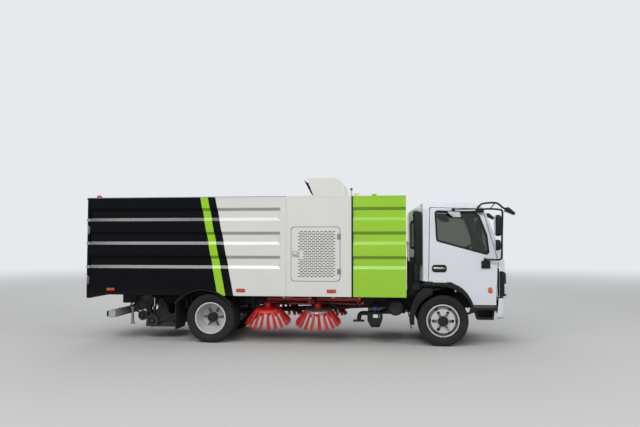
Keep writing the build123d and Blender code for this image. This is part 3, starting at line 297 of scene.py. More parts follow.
def makeGrainGroup():
    # fine grain for bump and roughness, broad clouds for colour
    group, entry, leave = newGroup("fineGrain", {"Scale": 300.0}, ["Height", "Clouds"])
    spot = spotOn(group)
    fine = newNode(group, "TexNoise", {"Vector": spot, "Scale": entry["Scale"], "Detail": 3})
    broad = newNode(group, "TexNoise", {"Vector": spot, "Scale": 2.3, "Detail": 4})
    feed(group, leave, {"Height": fine.outputs["Fac"], "Clouds": broad.outputs["Fac"]})
    return group


# the pressed bands along the body's sides, and the coloured stripes across them
panel = {
    "topZ": 2.41,
    "height": 1.625,
    "bandFoot": 1.225,
    "bandTop": 2.3,
    "bandPitch": 0.393,
    "lowerSlope": 0.054,
    "upperSlope": (0.164, 0.218),
    "slopeY": (1.0985, 1.1198),
    # painted shade on the bands' top slopes
    "paintedShadeTint": (0.52, 0.5, 0.46, 1),
    "paintedShadeShare": 0.9,
    "mirrorLow": 0.09,
    # painted sheen on the bands' foot slopes
    "paintedSheenGain": 0.5,
    "hopperFront": -0.205,
    "tankFront": 3.0,
}
stripes = {
    # where each edge meets the panel's top and foot
    "black": (-1.298, -0.978),
    "greenRear": (-1.553, -1.247),
    "greenFront": (-1.425, -1.114),
}

frontAxle = {
    "x": 2.408,
    "z": 0.405,
    "discRadii": (0.19, 0.2365),
    "holes": 6,
    "holeCut": 0.62,
    "holeReach": 0.222,
}


def makeStripeGroup():
    # 1 where the surface lies behind a slanted line across the side panels
    group, entry, leave = newGroup("slantedEdge", {"Top X": 0.0, "Foot X": 0.0}, ["Behind"])
    axes = axesOf(group)
    share = calc(group, "DIVIDE", calc(group, "SUBTRACT", panel["topZ"], axes["Z"]), panel["height"])
    lean = calc(group, "SUBTRACT", entry["Foot X"], entry["Top X"])
    edge = calc(group, "ADD", entry["Top X"], calc(group, "MULTIPLY", lean, share))
    feed(group, leave, {"Behind": calc(group, "LESS_THAN", axes["X"], edge)})
    return group


def makeSlopeGroup():
    # 1 on the slopes at the top and at the foot of each pressed band
    group, entry, leave = newGroup("bandSlopes", {"Front X": 0.0}, ["Top", "Foot"])
    rise = calc(group, "SUBTRACT", axesOf(group)["Z"], panel["bandFoot"])
    turn = calc(group, "FRACT", calc(group, "DIVIDE", rise, panel["bandPitch"]))
    start, end = (height / panel["bandPitch"] for height in panel["upperSlope"])
    top = calc(group, "MULTIPLY", calc(group, "GREATER_THAN", turn, start), calc(group, "LESS_THAN", turn, end))
    foot = calc(group, "LESS_THAN", turn, panel["lowerSlope"] / panel["bandPitch"])
    onBands = whereAll(group, [
        ("Z", "GREATER_THAN", panel["bandFoot"]), ("Z", "LESS_THAN", panel["bandTop"]),
        ("X", "LESS_THAN", entry["Front X"]),
        ("Y", "GREATER_THAN", panel["slopeY"][0]), ("Y", "LESS_THAN", panel["slopeY"][1]),
    ])
    feed(group, leave, {"Top": calc(group, "MULTIPLY", top, onBands), "Foot": calc(group, "MULTIPLY", foot, onBands)})
    return group


dustGroup = makeDustGroup()
slopeGroup = makeSlopeGroup()
grainGroup = makeGrainGroup()
stripeGroup = makeStripeGroup()


def srgb(*shades):
    return tuple(c / 255 / 12.92 if c <= 10 else ((c / 255 + 0.055) / 1.055) ** 2.4 for c in shades) + (1,)


def newMaterial(name):
    material = bpy.data.materials.new(name)
    material.use_nodes = True
    return material, material.node_tree, material.node_tree.nodes["Principled BSDF"]


def addBump(tree, shader, height, inputs):
    feed(tree, shader, {"Normal": newNode(tree, "Bump", {"Height": height, **inputs}).outputs[0]})


dustColour = srgb(118, 110, 98)


def finish(name, colour, shade, roughness, grain, bump, dust=(0.0, 1.0, 0.0), dustScale=6.0, metallic=0.0, coat=0.0,
           specular=0.5, spread=0.08, plain=None, shine=None):
    # colour clouds into shade, dust (top, spread, amount) lies low, and a fine grain gives bump and roughness
    material, tree, shader = newMaterial(name)
    grains = addGroup(tree, grainGroup, Scale=grain)
    base = mixColour(tree, grains["Clouds"], srgb(*colour), srgb(*shade))
    if plain:
        base = plain(tree, base)
    dusty = addGroup(tree, dustGroup, Top=dust[0], Spread=dust[1], Amount=dust[2], Scale=dustScale)["Mask"]
    rough = calc(tree, "ADD", calc(tree, "MULTIPLY", grains["Height"], spread), roughness - spread / 2)
    feed(tree, shader, {
        "Metallic": metallic,
        "Specular IOR Level": shine(tree) if shine else specular,
        "Coat Weight": coat,
        "Coat Roughness": 0.04,
        "Base Color": mixColour(tree, dusty, base, dustColour),
        "Roughness": calc(tree, "ADD", rough, calc(tree, "MULTIPLY", dusty, 0.5), True),
    })
    addBump(tree, shader, grains["Height"], {"Strength": 1, "Distance": bump})
    return material


def paintedSlopeShade(tree, base, frontX):
    # painted shade: the bands' top slopes, which face down, are darkened by a multiply
    mask = addGroup(tree, slopeGroup, Front_X=frontX)["Top"]
    return mixColour(tree, calc(tree, "MULTIPLY", mask, panel["paintedShadeShare"]), base, panel["paintedShadeTint"], "MULTIPLY")


def paintedSlopeSheen(tree):
    # painted sheen: dark paint mirrors little, but the specular is raised on the bands' foot slopes alone, so they
    # catch the sky
    mask = addGroup(tree, slopeGroup, Front_X=panel["hopperFront"])["Foot"]
    return calc(tree, "ADD", calc(tree, "MULTIPLY", mask, panel["paintedSheenGain"]), panel["mirrorLow"])


paint = {
    # colour and shade
    "white": ((216, 215, 211), (208, 207, 202)),
    "cab": ((213, 216, 221), (205, 209, 215)),
    "green": ((150, 200, 48), (142, 192, 42)),
    "black": ((9, 10, 14), (6, 7, 10)),
    "red": ((226, 28, 28), (204, 20, 22)),
    "rim": ((206, 207, 208), (188, 189, 192)),
}


def hopperLiveryAndShade(tree, white):
    dark, rear, front = (addGroup(tree, stripeGroup, Top_X=top, Foot_X=foot)[0] for top, foot in stripes.values())
    band = calc(tree, "SUBTRACT", front, rear, True)
    colour = mixColour(tree, dark, white, srgb(*paint["black"][0]))
    # painted shade on the bands' top slopes, over the two-tone livery
    return paintedSlopeShade(tree, mixColour(tree, band, colour, srgb(*paint["green"][0])), panel["hopperFront"])


def paintedShadeWhere(colour, *tests):
    # painted shade: the dark colour wherever every test holds
    return lambda tree, base: mixColour(tree, whereAll(tree, tests), base, srgb(*colour))


def frontWheelWellShade(tree, base):
    # painted shade: a grey ring round the front wheel's disc, where its well lies in shade, with dark hand holes
    # painted in it
    axes = axesOf(tree)
    x = calc(tree, "SUBTRACT", axes["X"], frontAxle["x"])
    z = calc(tree, "SUBTRACT", axes["Z"], frontAxle["z"])
    reach = reachOf(tree, {"X": x, "Z": z})
    wave = calc(tree, "COSINE", calc(tree, "MULTIPLY", calc(tree, "ARCTAN2", z, x), frontAxle["holes"]))
    low, high = frontAxle["discRadii"]
    inner, outer = calc(tree, "GREATER_THAN", reach, low), calc(tree, "LESS_THAN", reach, high)
    shaded = mixColour(tree, calc(tree, "MULTIPLY", inner, outer), base, srgb(112, 113, 116))
    hole = calc(tree, "MULTIPLY", calc(tree, "GREATER_THAN", wave, frontAxle["holeCut"]), inner)
    hole = calc(tree, "MULTIPLY", hole, calc(tree, "LESS_THAN", reach, frontAxle["holeReach"]))
    return mixColour(tree, hole, shaded, srgb(26, 26, 28))


def bodyPaint(name, colour, roughness, dustAmount, **more):
    return finish(name, *paint[colour], roughness, 180, 0.00003, (0.95, 0.3, dustAmount), spread=0.05, **more)


hopperPaint = bodyPaint("hopperPaint", "white", 0.2, 0.05, shine=paintedSlopeSheen, plain=hopperLiveryAndShade)
blackPaint = bodyPaint("blackPaint", "black", 0.22, 0.05, shine=paintedSlopeSheen)
whitePaint = bodyPaint("whitePaint", "white", 0.24, 0.06)
greenPaint = bodyPaint("greenPaint", "green", 0.24, 0.08,
                       plain=lambda tree, base: paintedSlopeShade(tree, base, panel["tankFront"]))
# painted shade inside the engine compartment, behind the grille doors
compartmentPaint = bodyPaint("compartmentPaint", "white", 0.24, 0.06, plain=paintedShadeWhere(
    (30, 31, 32), ("Y", "LESS_THAN", 1.081), ("Z", "LESS_THAN", 2.395), ("X", "GREATER_THAN", -0.09),
    ("X", "LESS_THAN", 0.955)))
# painted shade on the grille door's slot walls and inner face
grillePaint = bodyPaint("grillePaint", "white", 0.24, 0.06, plain=paintedShadeWhere(
    (20, 21, 22), ("Y", "LESS_THAN", 1.1192), ("Z", "GREATER_THAN", 1.08), ("Z", "LESS_THAN", 1.88),
    ("X", "GREATER_THAN", 0.06), ("X", "LESS_THAN", 0.72)))
cabCoat = {"coat": 0.6, "spread": 0.04}
cabPaint = finish("cabPaint", *paint["cab"], 0.2, 220, 0.00002, (0.9, 0.4, 0.08), **cabCoat)
# painted shade on the cab shell's inner faces low down, round the wheel arch
cabShellPaint = finish("cabShellPaint", *paint["cab"], 0.2, 220, 0.00002, (0.9, 0.4, 0.08), **cabCoat, plain=paintedShadeWhere(
    (17, 18, 20), ("Z", "LESS_THAN", 1.016), ("X", "LESS_THAN", 2.885), ("Y", "LESS_THAN", 1.008)))
redPaint = finish("redPaint", *paint["red"], 0.4, 120, 0.00008, (0.8, 0.3, 0.15))
framePaint = finish("framePaint", (20, 21, 23), (13, 14, 16), 0.5, 90, 0.0002, (0.9, 0.6, 0.14), specular=0.3)
galvanised = finish("galvanised", (150, 152, 152), (112, 115, 117), 0.42, 38, 0.0001, (0.8, 0.6, 0.25), metallic=0.75,
                    spread=0.25)
greyPaint = finish("greyPaint", (190, 192, 190), (172, 174, 172), 0.45, 140, 0.00008, (0.7, 0.4, 0.5))
# painted shade on the underrun beam's front face
beamPaint = finish("beamPaint", (178, 182, 186), (158, 162, 166), 0.45, 140, 0.00008, (0.7, 0.4, 0.4),
                   plain=paintedShadeWhere((66, 62, 57), ("X", "GREATER_THAN", -3.051)))
darkSteel = finish("darkSteel", (34, 33, 33), (20, 20, 21), 0.6, 120, 0.0002, (0.8, 0.5, 0.18), metallic=0.3)
silverPaintAndSheen = finish("silverPaintAndSheen", (146, 149, 157), (134, 137, 145), 0.35, 180, 0.00003, (0.95, 0.3, 0.05))
castIron = finish("castIron", (40, 39, 38), (26, 25, 25), 0.75, 160, 0.0006, (0.9, 0.7, 0.22), metallic=0.3)
blackPlastic = finish("blackPlastic", (19, 20, 22), (13, 14, 16), 0.5, 600, 0.00012, (1.0, 0.8, 0.08), specular=0.25)
glossPlastic = finish("glossPlastic", (15, 16, 18), (11, 12, 14), 0.18, 500, 0.00002, (0.7, 0.4, 0.06), specular=0.3)
tyreRubber = finish("tyreRubber", (26, 26, 28), (19, 19, 21), 0.75, 420, 0.0002, (0.9, 0.6, 0.07), 14, specular=0.3,
                    spread=0.15)
rimPaint = finish("rimPaint", *paint["rim"], 0.42, 150, 0.00006, (0.8, 0.6, 0.16), 11, metallic=0.15)
frontRimPaint = finish("frontRimPaint", *paint["rim"], 0.42, 150, 0.00006, (0.8, 0.6, 0.16), 11, metallic=0.15,
                       plain=frontWheelWellShade)
steel = finish("steel", (165, 166, 168), (120, 121, 124), 0.3, 220, 0.00006, (0.8, 0.6, 0.3), metallic=0.95, spread=0.2)
chrome = finish("chrome", (205, 207, 210), (190, 192, 196), 0.12, 260, 0.00001, metallic=1.0)
cabTrim = finish("cabTrim", (66, 67, 70), (54, 55, 58), 0.7, 520, 0.0003)
rimBright = finish("rimBright", (214, 216, 219), (196, 198, 202), 0.28, 150, 0.00004, (0.5, 0.5, 0.2), metallic=0.35)
hoseRubber = finish("hoseRubber", (20, 20, 21), (13, 13, 14), 0.55, 500, 0.0001, (0.75, 0.4, 0.1))
bluePlastic = finish("bluePlastic", (24, 74, 150), (18, 60, 128), 0.4, 400, 0.0001, (0.7, 0.3, 0.3))
darkVoid = finish("darkVoid", (14, 14, 15), (8, 8, 9), 0.85, 200, 0.0003, specular=0.2)
bristleRed = finish("bristleRed", (222, 42, 34), (192, 26, 24), 0.45, 260, 0.0003, (0.42, 0.22, 0.15))
brassNut = finish("brassNut", (158, 120, 78), (120, 92, 62), 0.5, 200, 0.0001, (0.8, 0.6, 0.2), metallic=0.6)
seatCloth = finish("seatCloth", (74, 76, 82), (56, 58, 64), 0.9, 900, 0.0006)
rust = finish("rust", (96, 66, 48), (60, 44, 36), 0.85, 110, 0.0005, (0.9, 0.6, 0.3), metallic=0.2)
mirrorGlass = finish("mirrorGlass", (210, 214, 218), (200, 204, 208), 0.04, 40, 0.0, metallic=1.0)


def lampPlastic(name, colour, roughness=0.12):
    # a moulded lens: fine prisms across it and a deep glossy colour
    material, tree, shader = newMaterial(name)
    prisms = newNode(tree, "TexWave", {"Vector": spotOn(tree), "Scale": 60, "Distortion": 0.2}).outputs["Fac"]
    deep = tuple(c * 0.6 for c in colour[:3]) + (1,)
    feed(tree, shader, {
        "Roughness": roughness,
        "Coat Weight": 0.5,
        "Base Color": mixColour(tree, prisms, colour, deep),
    })
    addBump(tree, shader, prisms, {"Distance": 0.0005})
    return material


orangeLens = lampPlastic("orangeLens", srgb(238, 98, 22))
redLens = lampPlastic("redLens", srgb(196, 22, 28))
whiteLens = lampPlastic("whiteLens", srgb(222, 224, 226))
reflectorOrange = lampPlastic("reflectorOrange", srgb(226, 74, 24), 0.2)


def makeGlass(name, tint):
    material, tree, shader = newMaterial(name)
    pale = tuple(min(1, c * 1.06) for c in tint[:3]) + (1,)
    dusty = addGroup(tree, dustGroup, Top=2.4, Spread=2.0, Amount=0.06, Scale=9)["Mask"]
    feed(tree, shader, {
        "Transmission Weight": 1,
        "IOR": 1.45,
        "Base Color": mixColour(tree, addGroup(tree, grainGroup, Scale=3)["Clouds"], tint, pale),
        "Roughness": calc(tree, "ADD", dusty, 0.02),
    })
    return material


windowGlass = makeGlass("windowGlass", srgb(150, 155, 147))

frameFinish = [
    (hopperPaint, "hopper"),
    (blackPaint, "tailgate"),
    (compartmentPaint, "engine_compartment"),
    (grillePaint, "grille_door_SIDE"),
    (whitePaint, "exhaust_hood"),
    (greenPaint, "water_tank roof_vents"),
    (cabShellPaint, "cab_shell"),
    (cabPaint, "cab_door_SIDE bumper"),
    (framePaint, "chassis_frame rear_axle drive_shaft rear_fenders hoist_barrel"),
    (castIron, "front_axle_beam leaf_springs engine_block sweeper_engine steering_knuckle_SIDE tie_rod"),
    (galvanised, "fuel_tank"),
    (blackPlastic, "urea_tank front_mudguards air_intake steering_wheel cab_steps"),
    (darkSteel, "exhaust_silencer suction_nozzle"),
    (beamPaint, "underrun_beam"),
    (redPaint, "brush_arms"),
    (windowGlass, "cab_glass door_glass_SIDE"),
    (seatCloth, "seats"),
    (cabTrim, "dashboard"),
    (glossPlastic, "front_lamps mirrors_SIDE"),
    (redLens, "roof_lamps"),
    (chrome, "hoist_rod"),
    (tyreRubber, "front_tyre_SIDE rear_tyres_SIDE"),
    (frontRimPaint, "front_rim_SIDE"),
    (rimPaint, "rear_rims_SIDE"),
    (bristleRed, "front_brush_SIDE rear_brush_SIDE"),
]
for material, names in frameFinish:
    for node in sorted({name.replace("SIDE", side) for name in names.split() for side, _ in hands}):
        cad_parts[node].data.materials.clear()
        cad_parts[node].data.materials.append(material)
print("finishes on the frame's own pieces")


# shapes that several pieces share
def cornersOf(outline):
    # each corner with the ways back and ahead along its edges
    points = [Vector(corner) for corner in outline]
    for index, here in enumerate(points):
        ahead = points[(index + 1) % len(points)]
        yield here, (points[index - 1] - here).normalized(), (ahead - here).normalized()


def roundedOutline(corners, radius, steps=5):
    # a flat outline whose corners are small arcs
    points = []
    for here, back, ahead in cornersOf(corners):
        half = back.angle(ahead) / 2
        centre = here + (back + ahead).normalized() * radius / math.sin(half)
        start = here + back * radius / math.tan(half) - centre
        end = here + ahead * radius / math.tan(half) - centre
        turn = start.angle_signed(end)
        for step in range(steps + 1):
            angle = -turn * step / steps
            points.append(centre + Matrix.Rotation(angle, 2) @ start)
    return points


def grown(corners, amount):
    # the same outline moved outwards by amount
    middle = sum((Vector(corner) for corner in corners), Vector((0, 0))) / len(corners)
    points = []
    for here, back, ahead in cornersOf(corners):
        way = (back + ahead).normalized()
        if way.dot(here - middle) < 0:
            way = -way
        points.append(here + way * amount / math.sin(back.angle(ahead) / 2))
    return points


def flatShape(points):
    # one many-sided face through the given places
    letGo()
    bpy.ops.mesh.primitive_circle_add(vertices=len(points), radius=1, fill_type="NGON")
    shape = bpy.context.object
    for vertex, spot in zip(shape.data.vertices, points):
        vertex.co = spot
    shape.location = (0, 0, 0)
    return settle(shape)


def loopStrip(points, width, thickness, edge=0.0):
    # a flat ring of the given width inside the outline, made solid
    ring = flatShape(points)
    hold(ring)
    mode("EDIT")
    bpy.ops.mesh.select_all(action="SELECT")
    bpy.ops.mesh.inset(thickness=width)
    bpy.ops.mesh.delete(type="FACE")
    mode("OBJECT")
    modify(ring, "SOLIDIFY", thickness=thickness, offset=0)
    if edge:
        roundEdges(ring, edge)
    return smooth(ring)


def sheetPatch(columns, rows, spot, thickness, side=1, edge=0.0):
    # a curved sheet; spot gives the place for each share along and up
    letGo()
    bpy.ops.mesh.primitive_grid_add(x_subdivisions=columns, y_subdivisions=rows, size=1)
    patch = bpy.context.object
    for vertex in patch.data.vertices:
        vertex.co = spot(vertex.co.x + 0.5, vertex.co.y + 0.5)
    modify(patch, "SOLIDIFY", thickness=thickness, offset=side)
    hold(patch)
    mode("EDIT")
    bpy.ops.mesh.select_all(action="SELECT")
    bpy.ops.mesh.normals_make_consistent(inside=False)
    mode("OBJECT")
    if edge:
        roundEdges(patch, edge)
    return smooth(patch)


def softBlock(low, high, edge, segments=3):
    block = cube(low, high)
    roundEdges(block, edge, segments)
    return smooth(block)


def boss(start, end, radius, sides=24, edge=0.002):
    # a short round piece with broken edges
    piece = rod(start, end, radius, sides)
    roundEdges(piece, edge, 2, 50)
    return smooth(piece)


def hexBolt(spot, way, across, height, washer=0.0):
    # a hexagon head with a chamfered top, on a washer
    way = Vector(way).normalized()
    spot = Vector(spot)
    head = rod(spot, spot + way * height, across / math.sqrt(3), 6)
    roundEdges(head, height * 0.12, 1, 50)
    if washer:
        disc = rod(spot, spot + way * height * 0.16, washer, 16)
        head = join(head, disc)
    return head


def swing(piece, spot, degrees, axis):
    # turns a piece made at the origin and sets it down at the spot
    piece.data.transform(Matrix.Translation(spot) @ Matrix.Rotation(math.radians(degrees), 4, axis))


def around(piece, count, centre, axis="Y", start=0.0):
    # copies of a piece set round an axis, joined to one
    copies = []
    for step in range(count):
        turn = Matrix.Translation(centre) @ Matrix.Rotation(start + math.tau * step / count, 4, axis)
        copies.append(again(piece, turn @ Matrix.Translation(-Vector(centre))))
    bpy.data.objects.remove(piece)
    return join(*copies)


# tyres: a turned carcass under one pitch of tread, copied round
tyreShape = {
    "radius": frontAxle["z"],
    "treadBase": 0.3935,
    "pitches": 58,
    "blocks": [(-0.096, -0.068), (-0.061, -0.029), (-0.022, 0.022), (0.029, 0.061), (0.068, 0.096)],
    "blockLength": 0.036,
    "shoulder": 0.09,
    "wear": (0.0008, 0.0022),
    "frontY": 0.8475,
    "rearY": (0.9275, 0.6725),
    "frontX": frontAxle["x"],
    "rearX": -1.392,
    "slant": 9,
}
sidewall = [
    (0.0857, 0.2505), (0.0876, 0.2615), (0.0925, 0.265), (0.0975, 0.2715), (0.101, 0.273), (0.1035, 0.283),
    (0.1075, 0.297), (0.1105, 0.312), (0.1122, 0.326), (0.1125, 0.333), (0.1108, 0.335), (0.1108, 0.3405),
    (0.1118, 0.343), (0.1108, 0.358), (0.108, 0.374), (0.106, 0.3765), (0.104, 0.385), (0.1, 0.3925),
    (0.094, 0.3935),
]


def makeTyre():
    profile = [(-along, radius) for along, radius in reversed(sidewall)] + sidewall
    carcass = turnedRing(profile, (0, 0, 0), 72)
    smooth(carcass, 32)
    half = tyreShape["blockLength"] / 2
    blocks = []
    for low, high in tyreShape["blocks"]:
        outer = max(abs(low), abs(high)) > tyreShape["shoulder"]
        top = tyreShape["radius"] - tyreShape["wear"][outer]
        block = cube((-half, low, tyreShape["treadBase"] - 0.004), (half, high, top))
        roundEdges(block, 0.0014, 1, 40)
        if not outer:
            swing(block, (0, 0, 0), tyreShape["slant"] if low + high > 0 else -tyreShape["slant"], "Z")
        blocks.append(block)
    tread = around(join(*blocks), tyreShape["pitches"], (0, 0, 0))
    return join(carcass, tread)


tyreModel = makeTyre()
for side, hand in hands:
    front = shifted(tyreModel, tyreShape["frontX"], hand * tyreShape["frontY"], tyreShape["radius"])
    place(front, f"frontTyre_{side}", f"front_wheel_{side}", tyreRubber, [f"front_tyre_{side}"])
    pair = [shifted(tyreModel, tyreShape["rearX"], hand * y, tyreShape["radius"]) for y in tyreShape["rearY"]]
    place(join(*pair), f"rearTyres_{side}", f"rear_wheels_{side}", tyreRubber, [f"rear_tyres_{side}"])
bpy.data.objects.remove(tyreModel)
print("tyres treaded")

# wheel details: nuts, a hub cap, a bright rim edge and a valve
wheelDetail = {
    "nutCircle": 0.111,
    "nutCount": 6,
    "nutAcross": 0.032,
    "nutHeight": 0.022,
    "frontDiscY": 0.975,
    "rearDiscY": 0.808,
    "frontHubY": 1.011,
    "rearHubY": 0.92,
    "edgeRadii": (0.2415, 0.2608),
    "edgeFace": 0.097,
    "valveRadius": 0.208,
}


def wheelNuts(discY, x):
    radius, z = wheelDetail["nutCircle"], tyreShape["radius"]
    nut = hexBolt((x, discY, z + radius), (0, 1, 0), wheelDetail["nutAcross"], wheelDetail["nutHeight"], 0.023)
    stud = rod((x, discY, z + radius), (x, discY + wheelDetail["nutHeight"] + 0.014, z + radius), 0.009, 12)
    return around(join(nut, stud), wheelDetail["nutCount"], (x, 0, z), start=math.radians(30))


def hubCap(hubY, x, depth):
    profile = [
        (hubY - depth, 0.0832), (hubY - 0.012, 0.0815), (hubY - 0.004, 0.0775), (hubY + 0.0015, 0.069),
        (hubY + 0.0018, 0.052), (hubY + 0.0008, 0.049), (hubY + 0.0008, 0.028), (hubY + 0.0018, 0.025),
        (hubY + 0.0018, 0.0),
    ]
    cap = turnedRing(profile, (x, 0, tyreShape["radius"]), 40, closed=False)
    bolt = hexBolt((x, hubY + 0.001, tyreShape["radius"] + 0.0605), (0, 1, 0), 0.01, 0.004)
    return join(smooth(cap), around(bolt, 8, (x, 0, tyreShape["radius"])))


def rimEdge(y, x):
    low, high = wheelDetail["edgeRadii"]
    face = y + wheelDetail["edgeFace"]
    profile = [(face - 0.0005, low), (face + 0.0016, low + 0.003), (face + 0.0016, high - 0.003), (face - 0.0005, high)]
    return smooth(turnedRing(profile, (x, 0, tyreShape["radius"]), 64))


def valveStem(discY, x):
    z = tyreShape["radius"] - wheelDetail["valveRadius"]
    stem = tube("valveStem", [(x, discY - 0.02, z), (x, discY + 0.02, z), (x, discY + 0.035, z - 0.022)], 0.0045, 8)
    return join(stem, boss((x, discY + 0.034, z - 0.02), (x, discY + 0.041, z - 0.034), 0.006, 10, 0.001))


wheels = [
    # axle, body, x, disc face, hub end, cap depth, tyre y
    ("front", "front_wheel_SIDE", tyreShape["frontX"], wheelDetail["frontDiscY"], wheelDetail["frontHubY"], 0.034,
     tyreShape["frontY"]),
    ("rear", "rear_wheels_SIDE", tyreShape["rearX"], wheelDetail["rearDiscY"], wheelDetail["rearHubY"], 0.075,
     tyreShape["rearY"][0]),
]
for axle, body, x, discY, hubY, depth, tyreY in wheels:
    bothSides(wheelNuts(discY, x), f"{axle}Nuts", body, brassNut)
    bothSides(hubCap(hubY, x, depth), f"{axle}HubCap", body, blackPlastic)
    bothSides(rimEdge(tyreY, x), f"{axle}RimEdge", body, rimBright)
    bothSides(valveStem(discY, x), f"{axle}Valve", body, steel)
print("wheels detailed")

# side brushes: strands in bundles under a plate with its hub and bolts
brushShape = {
    "x": {"front": 0.37, "rear": -0.476},
    "y": 0.74,
    "z": 0.53,
    "tilt": 12,
    "bundles": 18,
    "strands": 22,
    "root": (0.192, 0.018),
    "tip": (0.374, -0.238),
    "rootSpread": 0.0125,
    "tipSpread": 0.033,
    "strandRadius": 0.0036,
    "strandEnd": 0.00288,
    "shortest": 0.006,
    "uneven": 0.012,
    "goldenTurn": 2.39996,
}


def bristleBundle():
    root = Vector((brushShape["root"][0], 0, brushShape["root"][1]))
    tip = Vector((brushShape["tip"][0], 0, brushShape["tip"][1]))
    way = (tip - root).normalized()
    across = Vector((0, 1, 0))
    up = way.cross(across)
    strands = []
    for index in range(brushShape["strands"]):
        share = math.sqrt((index + 0.5) / brushShape["strands"])
        angle = index * brushShape["goldenTurn"]
        aside = across * math.cos(angle) * share + up * math.sin(angle) * share
        short = brushShape["shortest"] + brushShape["uneven"] * abs(math.sin(index * 4.7))
        start = root + aside * brushShape["rootSpread"]
        end = tip + aside * brushShape["tipSpread"] - way * short
        strands.append(rod(start, end, brushShape["strandRadius"], 5, brushShape["strandEnd"]))
    sleeve = rod(root - way * 0.004, root + way * 0.03, 0.0165, 14, 0.0185)
    return join(sleeve, *strands)


def brushPlate():
    profile = [(0.008, 0.108), (0.008, 0.178), (-0.012, 0.184), (-0.014, 0.216), (0.0, 0.221), (0.008, 0.216),
               (0.03, 0.204), (0.034, 0.196), (0.034, 0.108)]
    ring = smooth(turnedRing(profile, (0, 0, 0), 64))
    swing(ring, (0, 0, 0), 90, "X")
    disc = boss((0, 0, 0.022), (0, 0, 0.0325), 0.172, 48, 0.002)
    hub = boss((0, 0, 0.012), (0, 0, 0.07), 0.03, 24, 0.003)
    bolts = around(hexBolt((0.06, 0, 0.0325), (0, 0, 1), 0.018, 0.009, 0.013), 6, (0, 0, 0), "Z")
    rimBolts = around(hexBolt((0.192, 0, 0.034), (0, 0, 1), 0.013, 0.006, 0.009), 12, (0, 0, 0), "Z")
    return join(ring, disc, hub, bolts, rimBolts)


bundle = around(bristleBundle(), brushShape["bundles"], (0, 0, 0), "Z")
plateModel = brushPlate()
for axle, x in brushShape["x"].items():
    for side, hand in hands:
        tilt = math.radians(brushShape["tilt"])
        seat = Matrix.Translation((x, hand * brushShape["y"], brushShape["z"])) @ Matrix.Rotation(-hand * tilt, 4, "X")
        body = f"{axle}_brush_{side}"
        place(again(bundle, seat), f"{axle}Bristles_{side}", body, bristleRed, [body])
        plateFinish = redPaint if axle == "rear" else galvanised
        place(again(plateModel, seat), f"{axle}BrushPlate_{side}", body, plateFinish, [body])
bpy.data.objects.remove(bundle)
bpy.data.objects.remove(plateModel)
print("brushes bristled")

# the cab's outer face, which seals, lenses and trims follow
cabRows = [
    # height, front at the middle, half width
    (0.6, 3.44, 1.02), (0.9, 3.452, 1.02), (1.316, 3.442, 1.02), (1.44, 3.425, 1.018),
    (2.2, 3.13, 0.994), (2.29, 3.06, 0.96), (2.345, 2.93, 0.88),
]

noseDrop, noseCornerWidth = 0.058, 0.15


def cabAt(z):
    for (z1, x1, half1), (z2, x2, half2) in zip(cabRows, cabRows[1:]):
        if z <= z2:
            break
    share = min(1, max(0, (z - z1) / (z2 - z1)))
    return x1 + (x2 - x1) * share, half1 + (half2 - half1) * share


def bulge(middle, edge, y):
    # the front's wide arc, which falls back by noseDrop at its edge
    radius = (edge**2 + noseDrop**2) / (2 * noseDrop)
    return middle - radius + math.sqrt(radius**2 - y**2)


def cabFront(y, z, out=0.0):
    middle, half = cabAt(z)
    return bulge(middle, half - noseCornerWidth, y) + out


def cabSide(z, out=0.0):
    return cabAt(z)[1] + out


def noseCorner(middle, half, share):
    # from the front's edge round the corner to the side
    a = Vector((middle - noseDrop, half - noseCornerWidth))
    b = Vector((middle - 0.088, half - 0.0405))
    c = Vector((middle - 0.178, half))
    ab, bc = (a + b) / 2, (b + c) / 2
    p, q = Vector((b.y - a.y, a.x - b.x)), Vector((c.y - b.y, b.x - c.x))
    across = p.x * q.y - p.y * q.x
    way = ((bc.x - ab.x) * q.y - (bc.y - ab.y) * q.x) / across
    centre = ab + p * way
    start, end = a - centre, c - centre
    return centre + Matrix.Rotation(-start.angle_signed(end) * share, 2) @ start


def finer(points, step):
    # long edges of an outline get points between
    result = []
    for index, point in enumerate(points):
        ahead = points[(index + 1) % len(points)]
        count = max(1, int((ahead - point).length / step))
        result += [point.lerp(ahead, part / count) for part in range(count)]
    return result


cabTrimShape = {
    "doorWindow": [(2.318, 1.687), (2.296, 2.162), (2.905, 2.138), (2.985, 2.073), (3.095, 1.772), (3.125, 1.495),
                   (3.081, 1.475)],
    "quarterWindow": [(1.912, 1.56), (1.912, 1.985), (2.028, 2.065), (2.028, 1.56)],
    "windscreen": [(-0.82, 1.5), (0.82, 1.5), (0.79, 2.13), (-0.79, 2.13)],
    "sealWidth": 0.03,
    "handle": (2.352, 1.243),
    "handleSize": (0.232, 0.118),
    "indicator": (3.141, 0.903),
}

windowRing = finer(roundedOutline(grown(cabTrimShape["doorWindow"], 0.012), 0.05), 0.08)
doorSeal = loopStrip([(p.x, cabSide(p.y, 0.0015), p.y) for p in windowRing], cabTrimShape["sealWidth"], 0.007, 0.0015)
bothSides(doorSeal, "doorWindowSeal", "cab_door_SIDE", blackPlastic)

quarterRing = roundedOutline(grown(cabTrimShape["quarterWindow"], 0.01), 0.03)
quarterFlare = 0.08 / 0.18
quarterPoints = [(p.x, cabSide(p.y) - 0.22 + (p.x - 1.88) * quarterFlare + 0.002, p.y) for p in quarterRing]
quarterSeal = loopStrip(quarterPoints, 0.022, 0.006, 0.0012)
bothSides(quarterSeal, "quarterWindowSeal", "cab", blackPlastic)

screenRing = finer(roundedOutline(grown(cabTrimShape["windscreen"], 0.012), 0.052), 0.08)
screenSeal = loopStrip([(cabFront(p.x, p.y, 0.001), p.x, p.y) for p in screenRing], 0.034, 0.007, 0.0015)
place(screenSeal, "windscreenSeal", "cab", blackPlastic)


